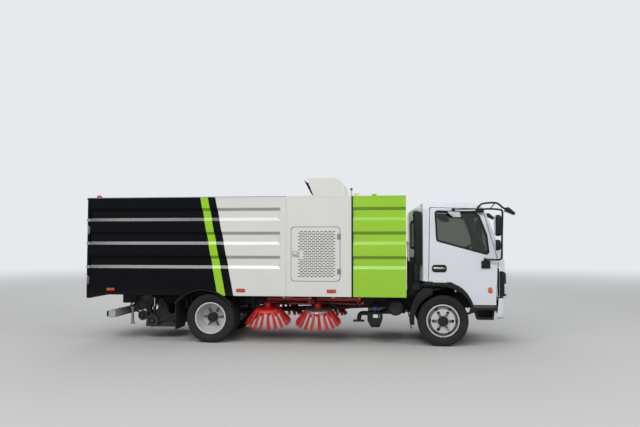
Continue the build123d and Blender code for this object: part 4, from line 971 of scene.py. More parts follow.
def roundedPlate(centre, size, corner, y1, y2, edge=0.0015):
    # a plate across the Y axis with rounded corners
    x, z = centre
    wide, tall = size[0] / 2, size[1] / 2
    corners = [(x - wide, z - tall), (x + wide, z - tall), (x + wide, z + tall), (x - wide, z + tall)]
    plate = flatShape([(p.x, (y1 + y2) / 2, p.y) for p in roundedOutline(corners, corner)])
    modify(plate, "SOLIDIFY", thickness=abs(y2 - y1), offset=0)
    if edge:
        roundEdges(plate, edge, 2, 50)
    return plate


def makeHandle():
    x, z = cabTrimShape["handle"]
    y = cabSide(z)
    bezel = roundedPlate((x, z), cabTrimShape["handleSize"], 0.048, y - 0.002, y + 0.01, 0.003)
    recess(bezel, lambda centre, normal: normal.y > 0.9 and centre.y > y + 0.008, 0.013, -0.007)
    smooth(bezel)
    bar = softBlock((x - 0.094, y + 0.006, z - 0.01), (x + 0.062, y + 0.02, z + 0.022), 0.006)
    lock = boss((x + 0.084, y + 0.002, z + 0.004), (x + 0.084, y + 0.013, z + 0.004), 0.0105, 20, 0.001)
    return bezel, join(bar, lock)


handleBezel, handleBar = makeHandle()
bothSides(handleBezel, "doorHandleBezel", "cab_door_SIDE", glossPlastic)
bothSides(handleBar, "doorHandleBar", "cab_door_SIDE", chrome)

x, z = cabTrimShape["indicator"]
y = cabSide(z)
indicatorBase = roundedPlate((x, z), (0.062, 0.092), 0.026, y - 0.002, y + 0.005, 0.0015)
indicatorLens = roundedPlate((x, z), (0.05, 0.08), 0.022, y + 0.003, y + 0.014, 0.005)
bothSides(smooth(indicatorBase), "sideIndicatorBase", "cab_door_SIDE", blackPlastic)
bothSides(smooth(indicatorLens), "sideIndicator", "cab_door_SIDE", orangeLens)

# mirrors: rounded heads on bent arms, with a glass in each face
mirrorShape = {
    "heads": [
        # x1, x2, y1, y2, z1, z2, edge
        (3.2, 3.3, 1.072, 1.212, 1.756, 2.09, 0.044),
        (3.2, 3.286, 1.078, 1.21, 1.532, 1.702, 0.038),
    ],
    "frontHead": [(3.374, 2.146), (3.506, 2.088), (3.529, 2.098), (3.522, 2.132), (3.428, 2.212), (3.384, 2.208)],
    "kerbHead": [(2.56, 2.048), (2.694, 2.047), (2.69, 2.1), (2.676, 2.146), (2.458, 2.16), (2.48, 2.116)],
    "mainArm": [(3.056, 1.034, 1.388), (3.205, 1.1, 1.386), (3.29, 1.138, 1.392), (3.306, 1.142, 1.44),
                (3.308, 1.142, 1.7), (3.322, 1.142, 2.09), (3.322, 1.14, 2.16), (3.27, 1.128, 2.176),
                (3.11, 1.08, 2.19), (3.0, 1.03, 2.18), (2.965, 0.996, 2.176)],
    "frontArm": [(2.95, 0.994, 2.186), (2.99, 1.01, 2.25), (3.04, 1.02, 2.28), (3.24, 1.05, 2.29),
                 (3.3, 1.05, 2.248), (3.352, 1.04, 2.196), (3.4, 1.03, 2.186)],
    "armRadius": 0.0155,
}


def facePlate(x, y1, y2, z1, z2, corner, thickness):
    # a rounded plate across the X axis
    outline = roundedOutline([(y1, z1), (y2, z1), (y2, z2), (y1, z2)], corner)
    plate = flatShape([(x, p.x, p.y) for p in outline])
    modify(plate, "SOLIDIFY", thickness=thickness, offset=0)
    roundEdges(plate, thickness * 0.3, 2, 50)
    return smooth(plate)


def sideBlock(outline, y1, y2, corner, edge):
    # an outline seen from the side, made as thick as y1 to y2
    points = roundedOutline(outline, corner) if corner else [Vector(point) for point in outline]
    shape = flatShape([(p.x, (y1 + y2) / 2, p.y) for p in points])
    modify(shape, "SOLIDIFY", thickness=y2 - y1, offset=0)
    roundEdges(shape, edge, 3, 50)
    return smooth(shape)


def makeMirrors():
    heads = [softBlock((x1, y1, z1), (x2, y2, z2), edge, 5) for x1, x2, y1, y2, z1, z2, edge in mirrorShape["heads"]]
    heads.append(sideBlock(mirrorShape["frontHead"], 0.958, 1.094, 0.01, 0.01))
    heads.append(sideBlock(mirrorShape["kerbHead"], 1.052, 1.136, 0.012, 0.01))
    radius = mirrorShape["armRadius"]
    arms = [tube("mirrorArm", mirrorShape[label], radius, 16) for label in ("mainArm", "frontArm")]
    for z, x in ((1.84, 3.311), (2.01, 3.318), (1.62, 3.306)):
        arms.append(boss((3.26, 1.14, z), (x + 0.004, 1.142, z), 0.014, 20))
    arms.append(smooth(rod((3.14, 1.088, 2.187), (3.232, 1.05, 2.286), 0.008, 14)))
    for z in (2.188, 2.15):
        arms.append(smooth(rod((3.03, 1.046, z), (2.58, 1.096, z - 0.004), 0.0085, 14)))
    arms.append(softBlock((2.545, 1.08, 2.135), (2.6, 1.112, 2.198), 0.006))
    arms.append(softBlock((2.93, 0.988, 2.128), (3.05, 1.056, 2.2), 0.012))
    bracket = softBlock((3.006, 1.014, 1.248), (3.142, 1.04, 1.368), 0.006)
    knuckle = softBlock((3.044, 1.016, 1.36), (3.09, 1.052, 1.41), 0.008)
    bolts = [hexBolt((x, 1.04, z), (0, 1, 0), 0.014, 0.005, 0.01) for x in (3.03, 3.118) for z in (1.272, 1.344)]
    return join(*heads), join(*arms, bracket, knuckle, *bolts)


mirrorHeads, mirrorArms = makeMirrors()
for piece, name, material in ((mirrorHeads, "mirrorHeads", blackPlastic), (mirrorArms, "mirrorArms", glossPlastic)):
    bothSides(piece, name, "cab_door_SIDE", material, ["mirrors_SIDE"])
bothSides(facePlate(3.202, 1.088, 1.196, 1.772, 2.074, 0.024, 0.006), "mirrorGlass0", "cab_door_SIDE", mirrorGlass)
bothSides(facePlate(3.2015, 1.092, 1.196, 1.546, 1.688, 0.022, 0.005), "mirrorGlass1", "cab_door_SIDE", mirrorGlass)
kerbFace = [(2.566, 2.056), (2.686, 2.056), (2.67, 2.136), (2.476, 2.15), (2.494, 2.118)]
kerbGlass = sideBlock(kerbFace, 1.1335, 1.1385, 0.01, 0.001)
bothSides(kerbGlass, "kerbMirrorGlass", "cab_door_SIDE", mirrorGlass)
frontGlass = sideBlock([(3.384, 2.146), (3.504, 2.093), (3.5, 2.086), (3.38, 2.139)], 0.972, 1.08, 0.001, 0.0005)
bothSides(frontGlass, "frontMirrorGlass", "cab_door_SIDE", mirrorGlass)

# front end: dark grille with uprights, lenses, side trims, fog lamps, blank plate and wipers
grilleShape = {
    "rows": 5,
    "lowZ": 0.946,
    "pitch": 0.046,
    "halfHeight": 0.0148,
    "halfWidth": 0.617,
    "step": 0.012,
    "ribPitch": 0.031,
}


def frontStrip(columns, half, low, high, out, thickness):
    # a strip that follows the cab's front at the height of its middle
    z = (low + high) / 2
    return sheetPatch(
        columns, 2, lambda u, v: (cabFront((2 * u - 1) * half, z, out), (2 * u - 1) * half, low + (high - low) * v),
        thickness
    )


def makeGrille():
    strips, ribs = [], []
    for row in range(grilleShape["rows"]):
        z = grilleShape["lowZ"] + grilleShape["pitch"] * (row + 0.5)
        half = grilleShape["halfWidth"] - grilleShape["step"] * row
        tall = grilleShape["halfHeight"]
        strips.append(frontStrip(28, half, z - tall, z + tall, -0.0125, 0.001))
        count = int(half / grilleShape["ribPitch"])
        for rib in range(-count, count + 1):
            y = rib * grilleShape["ribPitch"]
            front = cabFront(y, z, -0.005)
            upright = cube((front - 0.007, y - 0.0022, z - tall), (front, y + 0.0022, z + tall))
            ribs.append(roundEdges(upright, 0.0008, 1))
    return join(*strips), join(*ribs)


# painted shade: dark strips behind the uprights stand in for the shade deep in the grille
grilleBack, grilleRibs = makeGrille()
place(grilleBack, "frontGrilleBack", "cab", darkVoid)
place(grilleRibs, "frontGrilleRibs", "cab", blackPlastic)

headlampShape = {
    "plan": (3.46, 1.028),
    "innerY": 0.7,
    "proud": 0.004,
    "bend": 0.45,
    "cornerShare": 0.8,
}


def lampFace(share, out):
    # along the lamp's outer face from the inner edge round the corner
    middle, half = headlampShape["plan"][0] + out, headlampShape["plan"][1] + out
    edge, bend = half - noseCornerWidth, headlampShape["bend"]
    if share < bend:
        y = headlampShape["innerY"] + (edge - headlampShape["innerY"]) * share / bend
        return Vector((bulge(middle, edge, y), y))
    return noseCorner(middle, half, (share - bend) / (1 - bend) * headlampShape["cornerShare"])


def lampLens(low, high, lowShare, highShare, slope):
    def spot(u, v):
        share = lowShare + (highShare - lowShare) * u
        face = lampFace(share, 0.0005)
        return (face.x, face.y, low + v * (high - low) + slope * (u - 0.5) * v)

    return sheetPatch(20, 6, spot, headlampShape["proud"], 1, 0.0012)


bothSides(lampLens(0.846, 0.99, 0.03, 0.87, 0.03), "headlampLens", "cab", whiteLens)
bothSides(lampLens(1.04, 1.072, 0.03, 0.4, 0.012), "frontIndicator", "cab", orangeLens)
edgeStrip = softBlock((3.251, 1.014, 0.815), (3.28, 1.0222, 1.25), 0.002)
bothSides(edgeStrip, "cabEdgeStrip", "cab", glossPlastic)

archShape = {
    "doorOuter": [(2.2615, 1.022), (2.425, 1.019), (2.51, 1.013), (2.58, 1.001), (2.655, 0.969), (2.718, 0.924),
                  (2.77, 0.872), (2.81, 0.816), (2.846, 0.753), (2.871, 0.693), (2.884, 0.652)],
    "doorInner": [(2.838, 0.652), (2.822, 0.7), (2.794, 0.75), (2.748, 0.805), (2.71, 0.842), (2.68, 0.862),
                  (2.636, 0.886), (2.585, 0.91), (2.505, 0.941), (2.424, 0.955), (2.2615, 0.962)],
    "rear": [(2.112, 0.962), (2.26, 0.966), (2.26, 1.022), (2.112, 1.02)],
    "skirt": [(2.812, 0.566), (2.838, 0.648), (3.262, 0.643), (3.262, 0.59), (2.926, 0.59), (2.908, 0.552),
              (2.878, 0.545)],
    "sill": [(2.884, 0.646), (3.25, 0.646), (3.25, 0.672), (2.884, 0.672)],
    "guard": [(1.885, 0.342), (1.885, 0.516), (1.912, 0.64), (1.949, 0.754), (2.005, 0.838), (2.076, 0.905),
              (2.11, 0.925), (2.246, 0.925), (2.246, 0.832), (2.13, 0.765), (2.06, 0.7), (2.0, 0.61),
              (1.965, 0.52), (1.953, 0.405), (1.957, 0.342)],
}
sideTrims = [
    # name, outline, y1, y2, edge, body, finish
    ("archFlare", archShape["doorOuter"] + archShape["doorInner"], 1.0185, 1.034, 0.003, "cab_door_SIDE", blackPlastic),
    ("archFlareRear", archShape["rear"], 1.0185, 1.034, 0.003, "cab", blackPlastic),
    ("doorSill", archShape["sill"], 1.0185, 1.027, 0.002, "cab_door_SIDE", blackPlastic),
    ("stepSkirt", archShape["skirt"], 1.002, 1.016, 0.003, "cab", blackPlastic),
    ("guardSide", archShape["guard"], 1.0005, 1.01, 0.002, "chassis", glossPlastic),
]
for name, outline, y1, y2, edge, body, material in sideTrims:
    bothSides(sideBlock(outline, y1, y2, 0, edge), name, body, material)

fogLamp = {
    "x": 3.397,
    "y": (0.656, 0.744),
    "z": 0.618,
    "radius": 0.0385,
}
for number, y in enumerate(fogLamp["y"]):
    x, z, radius = fogLamp["x"], fogLamp["z"], fogLamp["radius"]
    profile = [(0.0, radius), (0.008, radius), (0.008, radius + 0.0055), (0.0, radius + 0.0075)]
    ring = turnedRing(profile, (0, 0, 0), 32)
    swing(ring, (x, y, z), -90, "Z")
    bothSides(smooth(ring), f"fogLampRing{number}", "chassis", chrome)
    lens = boss((x - 0.005, y, z), (x + 0.0045, y, z), radius - 0.0003, 32, 0.003)
    bothSides(lens, f"fogLamp{number}", "chassis", whiteLens)
# painted shade: a dark strip set back in the bumper's slot
place(frontStrip(24, 0.45, 0.574, 0.662, -0.04, 0.002), "bumperSlotBack", "chassis", darkVoid)
plateHolder = facePlate(3.4405, -0.232, 0.232, 0.486, 0.566, 0.01, 0.01)
place(plateHolder, "frontPlateHolder", "chassis", blackPlastic)
place(facePlate(3.447, -0.22, 0.22, 0.492, 0.56, 0.008, 0.002), "frontPlateBlank", "chassis", whitePaint)

wiperShape = {
    # each pivot and the middle of its blade, across the cab
    "y": [(0.56, 0.2), (-0.1, -0.44)],
    "pivotZ": 1.452,
    "middleZ": 1.51,
    "bladeZ": 1.56,
    "halfBlade": 0.3,
    "rubber": 0.006,
    "armRadius": 0.0055,
}


def makeWiper(pivotY, tipY):
    low, high, half = wiperShape["pivotZ"], wiperShape["bladeZ"], wiperShape["halfBlade"]

    def on(y, z, out):
        return (cabFront(y, z, out), y, z)

    def bladeSpot(u, v):
        y = tipY - half + 2 * half * u
        return (cabFront(y, high, 0.01 + 0.011 * v), y, high - 0.008 + wiperShape["rubber"] * v)

    bends = [on(pivotY, low, 0.006), on(pivotY, low + 0.01, 0.013),
             on((pivotY + tipY) / 2, wiperShape["middleZ"], 0.016), on(tipY, high, 0.017)]
    arm = tube("wiperArm", bends, wiperShape["armRadius"], 8)
    blade = sheetPatch(16, 1, bladeSpot, wiperShape["rubber"], 0, 0.001)
    return join(arm, blade, boss(on(pivotY, low, -0.002), on(pivotY, low + 0.004, 0.017), 0.014, 20))


place(join(*[makeWiper(*ends) for ends in wiperShape["y"]]), "wipers", "cab", blackPlastic)
print("cab front and sides trimmed")

# body sides: seams, roof edges, side markers and grille door fittings
panelY, roofTop = 1.12, panel["topZ"]
lip = softBlock((-0.1035, panelY - 0.004, 0.79), (-0.09, panelY + 0.0012, 2.4085), 0.0008, 1)
bothSides(lip, "seamLip", "chassis", whitePaint)
strip = softBlock((0.9606, panelY - 0.018, 0.787), (0.9824, panelY - 0.0015, 2.404), 0.002, 2)
bothSides(strip, "tankJointStrip", "chassis", blackPlastic)
cover = softBlock((0.958, panelY - 0.002, 0.787), (0.986, panelY + 0.0015, 2.404), 0.001, 2)
bothSides(cover, "tankJointCover", "chassis", blackPlastic)
place(softBlock((0.9606, -1.1, 2.388), (0.9824, 1.1, 2.404), 0.002, 2), "tankRoofStrip", "chassis", blackPlastic)

roofEdges = [
    # name, x1, x2, body, finish
    ("hopperRoofEdge", -3.458, -0.108, "hopper", hopperPaint),
    ("compartmentRoofEdge", -0.094, 0.958, "chassis", whitePaint),
    ("tankRoofEdge", 0.985, 1.828, "chassis", greenPaint),
]
for name, x1, x2, body, material in roofEdges:
    top = roofTop - 0.005 if "tank" in name else roofTop
    edge = join(
        softBlock((x1, panelY - 0.03, top - 0.0005), (x2, panelY + 0.0018, top + 0.003), 0.001, 1),
        softBlock((x1, panelY - 0.001, top - 0.028), (x2, panelY + 0.0022, top + 0.003), 0.001, 1),
    )
    bothSides(edge, name, body, material)

# painted highlight: silver strips on the tailgate's sides at the bands' foot slopes, for the sky they mirror
gateSheenStrips = [softBlock((-3.5262, panelY - 0.002, z), (-3.4618, panelY + 0.0008, z + 0.046), 0.0006, 1)
              for z in (1.227, 1.62, 2.013)]
bothSides(join(*gateSheenStrips), "gateSheenStrips", "tailgate", silverPaintAndSheen)
rail = softBlock((-3.5262, -1.1185, 2.3775), (-3.4665, 1.1185, 2.4085), 0.002)
place(rail, "gateTopRail", "tailgate", blackPaint)
for name, x1, x2, body in (("hopperRim", -3.46, -0.108, "hopper"), ("compartmentRim", -0.094, 0.958, "chassis")):
    rim = softBlock((x1, panelY - 0.004, roofTop - 0.008), (x2, panelY + 0.0026, roofTop + 0.0034), 0.001, 1)
    bothSides(rim, name, body, silverPaintAndSheen if name == "hopperRim" else whitePaint)

markers = {
    "x": [(-3.087, "hopper"), (-0.857, "hopper"), (0.635, "chassis")],
    "z": 0.873,
    "length": 0.146,
    "height": 0.054,
}
for number, (x, body) in enumerate(markers["x"]):
    z, half = markers["z"], markers["length"] / 2
    base = roundedPlate((x, z), (markers["length"], markers["height"]), 0.01, panelY - 0.001, panelY + 0.006, 0.0012)
    cells = []
    for step in (-1, 0, 1):
        centre = (x + step * 0.0455, z)
        cells.append(roundedPlate(centre, (0.04, 0.043), 0.006, panelY + 0.003, panelY + 0.01, 0.0018))
    bothSides(smooth(base), f"markerBase{number}", body, glossPlastic)
    bothSides(smooth(join(*cells)), f"markerLens{number}", body, reflectorOrange)

latch = {
    "x": 0.056,
    "z": 1.463,
    "floor": 1.104,
    "plate": (0.1, 0.08),
    "paddle": (0.052, 0.052),
}
hinges = {
    "x": 0.7795,
    "z": (1.19, 1.75),
    "length": 0.09,
    "radius": 0.0075,
}


def makeLatch():
    x, z, floor = latch["x"], latch["z"], latch["floor"]
    plate = roundedPlate((x, z), latch["plate"], 0.012, floor + 0.0005, floor + 0.006, 0.0015)
    recess(plate, lambda centre, normal: normal.y > 0.9 and centre.y > floor + 0.005, 0.008, -0.003)
    paddle = roundedPlate((x - 0.012, z), latch["paddle"], 0.008, floor + 0.003, floor + 0.013, 0.003)
    pull = softBlock((x - 0.036, floor + 0.011, z - 0.02), (x - 0.028, floor + 0.0155, z + 0.02), 0.002)
    keyHole = boss((x + 0.034, floor + 0.002, z), (x + 0.034, floor + 0.01, z), 0.009, 20, 0.0012)
    return smooth(join(plate, paddle, pull, keyHole))


bothSides(makeLatch(), "grilleDoorLatch", "grille_door_SIDE", chrome)

# painted shade: a dark mat on four studs behind the slots, so they look dark
shadeMat = roundedPlate((0.375, 1.47), (0.73, 0.82), 0.03, 1.088, 1.092, 0)
studs = [boss((x, 1.091, z), (x, 1.1138, z), 0.006, 16) for x in (0.048, 0.712) for z in (1.073, 1.873)]
bothSides(join(shadeMat, *studs), "grilleDoorMats", "grille_door_SIDE", darkVoid)


def makeHinges():
    pieces = []
    x, half = hinges["x"], hinges["length"] / 2
    y, leafY = panelY + 0.005, panelY + 0.0035
    for z in hinges["z"]:
        for low, high in ((-half, -half / 3 - 0.001), (-half / 3, half / 3), (half / 3 + 0.001, half)):
            pieces.append(boss((x, y, z + low), (x, y, z + high), hinges["radius"], 16, 0.001))
        pieces.append(softBlock((x - 0.052, panelY + 0.0005, z - half), (x - 0.004, leafY, z + half), 0.001, 1))
        for step in (-0.028, 0.028):
            pieces.append(hexBolt((x - 0.032, leafY, z + step), (0, 1, 0), 0.011, 0.005, 0.008))
    return join(*pieces)


bothSides(makeHinges(), "grilleDoorHinges", "grille_door_SIDE", steel)


# roof fittings
def roofBox(low, high):
    box = softBlock(low, high, 0.008)
    rim = 0.012
    foot, top = (low[0] - rim, low[1] - rim, low[2] - 0.001), (high[0] + rim, high[1] + rim, low[2] + 0.003)
    return join(box, softBlock(foot, top, 0.001, 1))


place(roofBox((0.045, -0.82, roofTop), (0.282, -0.42, roofTop + 0.045)), "roofBox", "chassis", whitePaint)


def turnedPost(x, y, profile, steps=28, rise=0.0):
    # profile of (height, radius) turned about an upright line
    post = turnedRing([(rise + height, radius) for height, radius in profile], (0, 0, 0), steps, closed=False)
    swing(post, (x, y, 0), 90, "X")
    return smooth(post)


roofPosts = {
    # heights above the roof, and radii
    "ventPipe": [(-0.002, 0), (-0.002, 0.022), (0.003, 0.022), (0.005, 0.0125), (0.098, 0.0125), (0.1, 0)],
    "ventBall": [(0.092, 0), (0.094, 0.015), (0.104, 0.0205), (0.116, 0.0205), (0.127, 0.0145), (0.131, 0)],
    "tankFiller": [(-0.006, 0), (-0.006, 0.058), (0.002, 0.058), (0.004, 0.036), (0.044, 0.036), (0.046, 0.043),
                   (0.06, 0.043), (0.0648, 0.036), (0.0648, 0)],
    "beacon": [(0.0002, 0), (0.0002, 0.0518), (0.01, 0.0518), (0.011, 0.047), (0.036, 0.0455), (0.052, 0.035),
               (0.0585, 0.019), (0.06, 0)],
    "roofCap": [(0.0002, 0), (0.0002, 0.0695), (0.008, 0.0695), (0.012, 0.064), (0.026, 0.055), (0.038, 0.034),
                (0.0438, 0)],
}


def roofPost(label, x, y):
    return turnedPost(x, y, roofPosts[label], rise=roofTop)


place(roofPost("ventPipe", 0.957, -1.06), "ventPipe", "chassis", greyPaint)
place(roofPost("ventBall", 0.957, -1.06), "ventBall", "chassis", glossPlastic)
place(roofBox((1.01, -1.04, roofTop - 0.004), (1.078, -0.94, roofTop + 0.058)), "breatherBox", "chassis", whitePaint)
fillers = [roofPost("tankFiller", x, y) for x, y in ((1.31, -0.6), (1.019, -0.7))]
place(join(*fillers), "tankFillers", "chassis", greenPaint, ["roof_vents"])
place(roofPost("beacon", -3.4, -0.93), "beacon", "hopper", redLens, ["roof_lamps"])
place(roofPost("roofCap", -3.091, -0.5), "roofCap", "hopper", whitePaint, ["roof_lamps"])
roofRibs = [softBlock((x - 0.02, -1.06, roofTop - 0.001), (x + 0.02, 1.06, roofTop + 0.006), 0.003)
            for x in (-2.9, -2.25, -1.6, -0.95, -0.4)]
place(join(*roofRibs), "hopperRoofRibs", "hopper", hopperPaint)
print("body sides and roof fitted")

# tail: lamps on the beam, blank plate, seal and latches
tailShape = {
    "beamX": -3.172,
    "lampZ": 0.448,
    "lampY": (0.7, 0.98),
    "gateX": -3.527,
    "sealX": -3.4648,
}


def tailLamp():
    x, z = tailShape["beamX"], tailShape["lampZ"]
    y1, y2 = tailShape["lampY"]
    case = softBlock((x - 0.046, y1, z - 0.048), (x, y2, z + 0.048), 0.01)
    lenses = []
    for start, end, material in ((0.01, 0.1, orangeLens), (0.104, 0.206, redLens), (0.21, 0.27, whiteLens)):
        lens = softBlock((x - 0.054, y1 + start, z - 0.038), (x - 0.044, y1 + end, z + 0.038), 0.004)
        lenses.append((lens, material))
    return case, lenses


lampCase, lampLenses = tailLamp()
bothSides(lampCase, "tailLampCase", "chassis", blackPlastic)
for number, (lens, material) in enumerate(lampLenses):
    bothSides(lens, f"tailLampLens{number}", "chassis", material)
gatePlate = facePlate(tailShape["gateX"] + 0.0065, -0.487, -0.043, 0.876, 1.006, 0.01, 0.008)
place(gatePlate, "rearPlateHolder", "tailgate", blackPlastic)
plateBlank = facePlate(tailShape["gateX"] + 0.0014, -0.48, -0.05, 0.884, 0.998, 0.008, 0.002)
place(plateBlank, "rearPlateBlank", "tailgate", whitePaint)


def makeGateLatch(z):
    y = panelY
    base = softBlock((-3.507, y - 0.002, z - 0.06), (-3.47, y + 0.006, z + 0.06), 0.002)
    lever = softBlock((-3.5, y + 0.006, z - 0.05), (-3.484, y + 0.02, z + 0.085), 0.004)
    pin = boss((-3.492, y + 0.002, z - 0.03), (-3.492, y + 0.028, z - 0.03), 0.012, 20)
    return join(base, lever, pin)


bothSides(join(makeGateLatch(1.02), makeGateLatch(1.86)), "tailgateLatches", "tailgate", steel)
sealLoop = roundedOutline([(-1.085, 0.8), (1.085, 0.8), (1.085, 2.33), (-1.085, 2.33)], 0.03)
gateSeal = loopStrip([(tailShape["sealX"], p.x, p.y) for p in sealLoop], 0.028, 0.0035)
place(gateSeal, "tailgateSeal", "tailgate", blackPlastic)
hingePins = [boss((-3.504, y + way * 0.04, 2.392), (-3.504, y + way * 0.052, 2.392), 0.013, 20)
             for y in (-0.7, 0.0, 0.7) for way in (-1, 1)]
place(join(*hingePins), "tailgateHingePins", "tailgate", steel)
print("tail fitted")

# seats: three pads swollen by a cloth run, on a base with runners
seatShape = {
    "y": (-0.52, 0.48),
    "cushion": [(2.262, 1.204), (2.69, 1.212), (2.72, 1.262), (2.706, 1.312), (2.272, 1.316)],
    "cushionHalf": 0.228,
    "back": [(2.214, 1.318), (2.318, 1.318), (2.296, 1.5), (2.206, 1.866), (2.142, 1.866), (2.134, 1.7)],
    "backHalf": 0.218,
    "head": [(2.132, 1.932), (2.194, 1.932), (2.182, 2.062), (2.122, 2.054)],
    "headHalf": 0.118,
    "voxel": 0.009,
    "pressure": 4.0,
    "frames": 20,
    "cap": 0.022,
    "channel": 0.006,
    "channelWidth": 0.009,
}


def padForm(outline, half, corner):
    points = roundedOutline(outline, corner, 4)
    form = flatShape([(p.x, 0, p.y) for p in points])
    modify(form, "SOLIDIFY", thickness=2 * half, offset=0)
    roundEdges(form, corner * 0.8, 4, 50)
    return form


def swell(form):
    modify(form, "REMESH", mode="VOXEL", voxel_size=seatShape["voxel"])
    start = [vertex.co.copy() for vertex in form.data.vertices]
    hold(form)
    cloth = form.modifiers.new("padding", "CLOTH")
    cloth.settings.use_pressure = True
    cloth.settings.uniform_pressure_force = seatShape["pressure"]
    cloth.settings.effector_weights.gravity = 0
    for step in range(1, seatShape["frames"] + 1):
        bpy.context.scene.frame_set(step)
    bpy.ops.object.modifier_apply(modifier=cloth.name)
    bpy.context.scene.frame_set(1)
    for vertex, old in zip(form.data.vertices, start):
        move = vertex.co - old
        if move.length > seatShape["cap"]:
            vertex.co = old + move.normalized() * seatShape["cap"]
    return form


def sew(form, lines, across, along):
    # a narrow sunk channel at each line, on the face that looks along the given way
    way = Vector(along)
    for vertex in form.data.vertices:
        facing = vertex.normal.dot(way)
        if facing < 0.4:
            continue
        near = min(abs(vertex.co[across] - line) for line in lines)
        vertex.co -= way * seatShape["channel"] * math.exp(-((near / seatShape["channelWidth"]) ** 2)) * facing
    modify(form, "SUBSURF", levels=1, render_levels=1)
    return smooth(form, 60)


def makePad(label, corner, lines, across, along):
    form = swell(padForm(seatShape[label], seatShape[f"{label}Half"], corner))
    return sew(form, lines, across, along)


def seatBase(y):
    plinth = softBlock((2.3, y - 0.18, 1.091), (2.66, y + 0.18, 1.196), 0.012)
    runners = [softBlock((2.29, y + step - 0.018, 1.0905), (2.7, y + step + 0.018, 1.11), 0.004)
               for step in (-0.15, 0.15)]
    lever = tube("seatLever", [(2.6, y - 0.12, 1.14), (2.71, y - 0.12, 1.13), (2.715, y, 1.13), (2.71, y + 0.12, 1.13),
                               (2.6, y + 0.12, 1.14)], 0.006, 8)
    posts = [rod((2.17, y + step, 1.85), (2.158, y + step, 1.95), 0.0075, 12) for step in (-0.06, 0.06)]
    return join(plinth, *runners, lever, *posts)


pads = {
    "Cushion": makePad("cushion", 0.026, (-0.115, 0.115), 1, (0, 0, 1)),
    "Back": makePad("back", 0.024, (1.47, 1.61, 1.75), 2, (0.97, 0, 0.24)),
    "Head": makePad("head", 0.022, (-0.3,), 1, (1, 0, 0)),
}
for number, y in enumerate(seatShape["y"]):
    for label, pad in pads.items():
        piece = shifted(pad, 0, y, 0)
        place(piece, f"seat{label}{number}", "cab", seatCloth, ["seats"])
    place(seatBase(y), f"seatBase{number}", "cab", blackPlastic, ["seats"])
for pad in pads.values():
    bpy.data.objects.remove(pad)
print("seats padded")

# dashboard fittings, gear lever, visors and door trims
dashShape = {
    "faceX": 3.062,
    "clusterY": (0.33, 0.63),
    "stackY": (-0.13, 0.15),
    "ventY": (-0.82, -0.24, 0.22, 0.82),
}


def looksBack(centre, normal):
    return normal.x < -0.9


def makeCluster():
    y1, y2 = dashShape["clusterY"]
    hood = softBlock((2.985, y1 - 0.02, 1.44), (3.13, y2 + 0.02, 1.496), 0.022, 4)
    recess(hood, looksBack, 0.01, -0.03)
    dials = []
    for y in (y1 + 0.075, y2 - 0.075):
        ring = turnedRing([(0.0, 0.03), (0.006, 0.03), (0.006, 0.034), (0.0, 0.035)], (0, 0, 0), 32)
        swing(ring, (3.012, y, 1.468), 90, "Z")
        needle = softBlock((3.008, y - 0.0015, 1.462), (3.01, y + 0.0015, 1.492), 0.0005, 1)
        dials += [ring, needle]
    return smooth(hood), smooth(join(*dials))


clusterHood, clusterDials = makeCluster()
place(clusterHood, "clusterHood", "cab", cabTrim)
place(clusterDials, "clusterDials", "cab", chrome)


def makeStack():
    y1, y2 = dashShape["stackY"]
    panel = softBlock((3.02, y1, 1.18), (3.12, y2, 1.425), 0.014)
    recess(panel, looksBack, 0.012, -0.006)
    knobs = [boss((3.024, y1 + 0.07 + step * 0.07, 1.235), (3.006, y1 + 0.07 + step * 0.07, 1.235), 0.017, 24)
             for step in range(3)]
    keys = [softBlock((3.014, y1 + 0.035 + step * 0.042, 1.285), (3.024, y1 + 0.069 + step * 0.042, 1.303), 0.003)
            for step in range(5)]
    return join(panel, *knobs, *keys)


place(makeStack(), "centreStack", "cab", blackPlastic)
y1, y2 = dashShape["stackY"]
screen = softBlock((3.019, y1 + 0.04, 1.318), (3.027, y2 - 0.04, 1.4), 0.003)
place(screen, "centreScreen", "cab", glossPlastic)


def makeVent(y):
    x = dashShape["faceX"]
    vent = softBlock((x - 0.012, y - 0.075, 1.362), (3.1, y + 0.075, 1.432), 0.008)
    recess(vent, looksBack, 0.008, -0.01)
    slats = [softBlock((x - 0.009, y - 0.066, z), (x + 0.004, y + 0.066, z + 0.003), 0.001, 1)
             for z in (1.372, 1.383, 1.394, 1.405, 1.416)]
    return join(vent, *slats)


place(join(*[makeVent(y) for y in dashShape["ventY"]]), "dashVents", "cab", blackPlastic)
gloveBox = softBlock((3.05, -0.76, 1.255), (3.11, -0.32, 1.34), 0.01)
place(gloveBox, "gloveBox", "cab", cabTrim)


def makeGearLever():
    boot = rod((2.88, -0.02, 1.09), (2.885, -0.02, 1.19), 0.065, 20, 0.02)
    roundEdges(boot, 0.006, 2, 50)
    stick = tube("gearStick", [(2.885, -0.02, 1.17), (2.9, -0.02, 1.27), (2.89, -0.02, 1.4)], 0.007, 8)
    knob = boss((2.891, -0.02, 1.385), (2.888, -0.02, 1.44), 0.022, 24, 0.012)
    return join(smooth(boot), stick, knob)


place(makeGearLever(), "gearLever", "cab", blackPlastic)
visors = join(*[softBlock((2.85, y - 0.22, 2.176), (3.01, y + 0.22, 2.19), 0.006) for y in (-0.46, 0.46)])
place(visors, "sunVisors", "cab", cabTrim)


def wheelPad():
    hub, way = Vector((2.86, 0.48, 1.5)), Vector((-0.55, 0, 0.835)).normalized()
    cover = rod(hub + way * 0.01, hub + way * 0.03, 0.078, 40, 0.062)
    roundEdges(cover, 0.008, 3, 40)
    return smooth(cover)


place(wheelPad(), "steeringWheelPad", "cab", cabTrim)


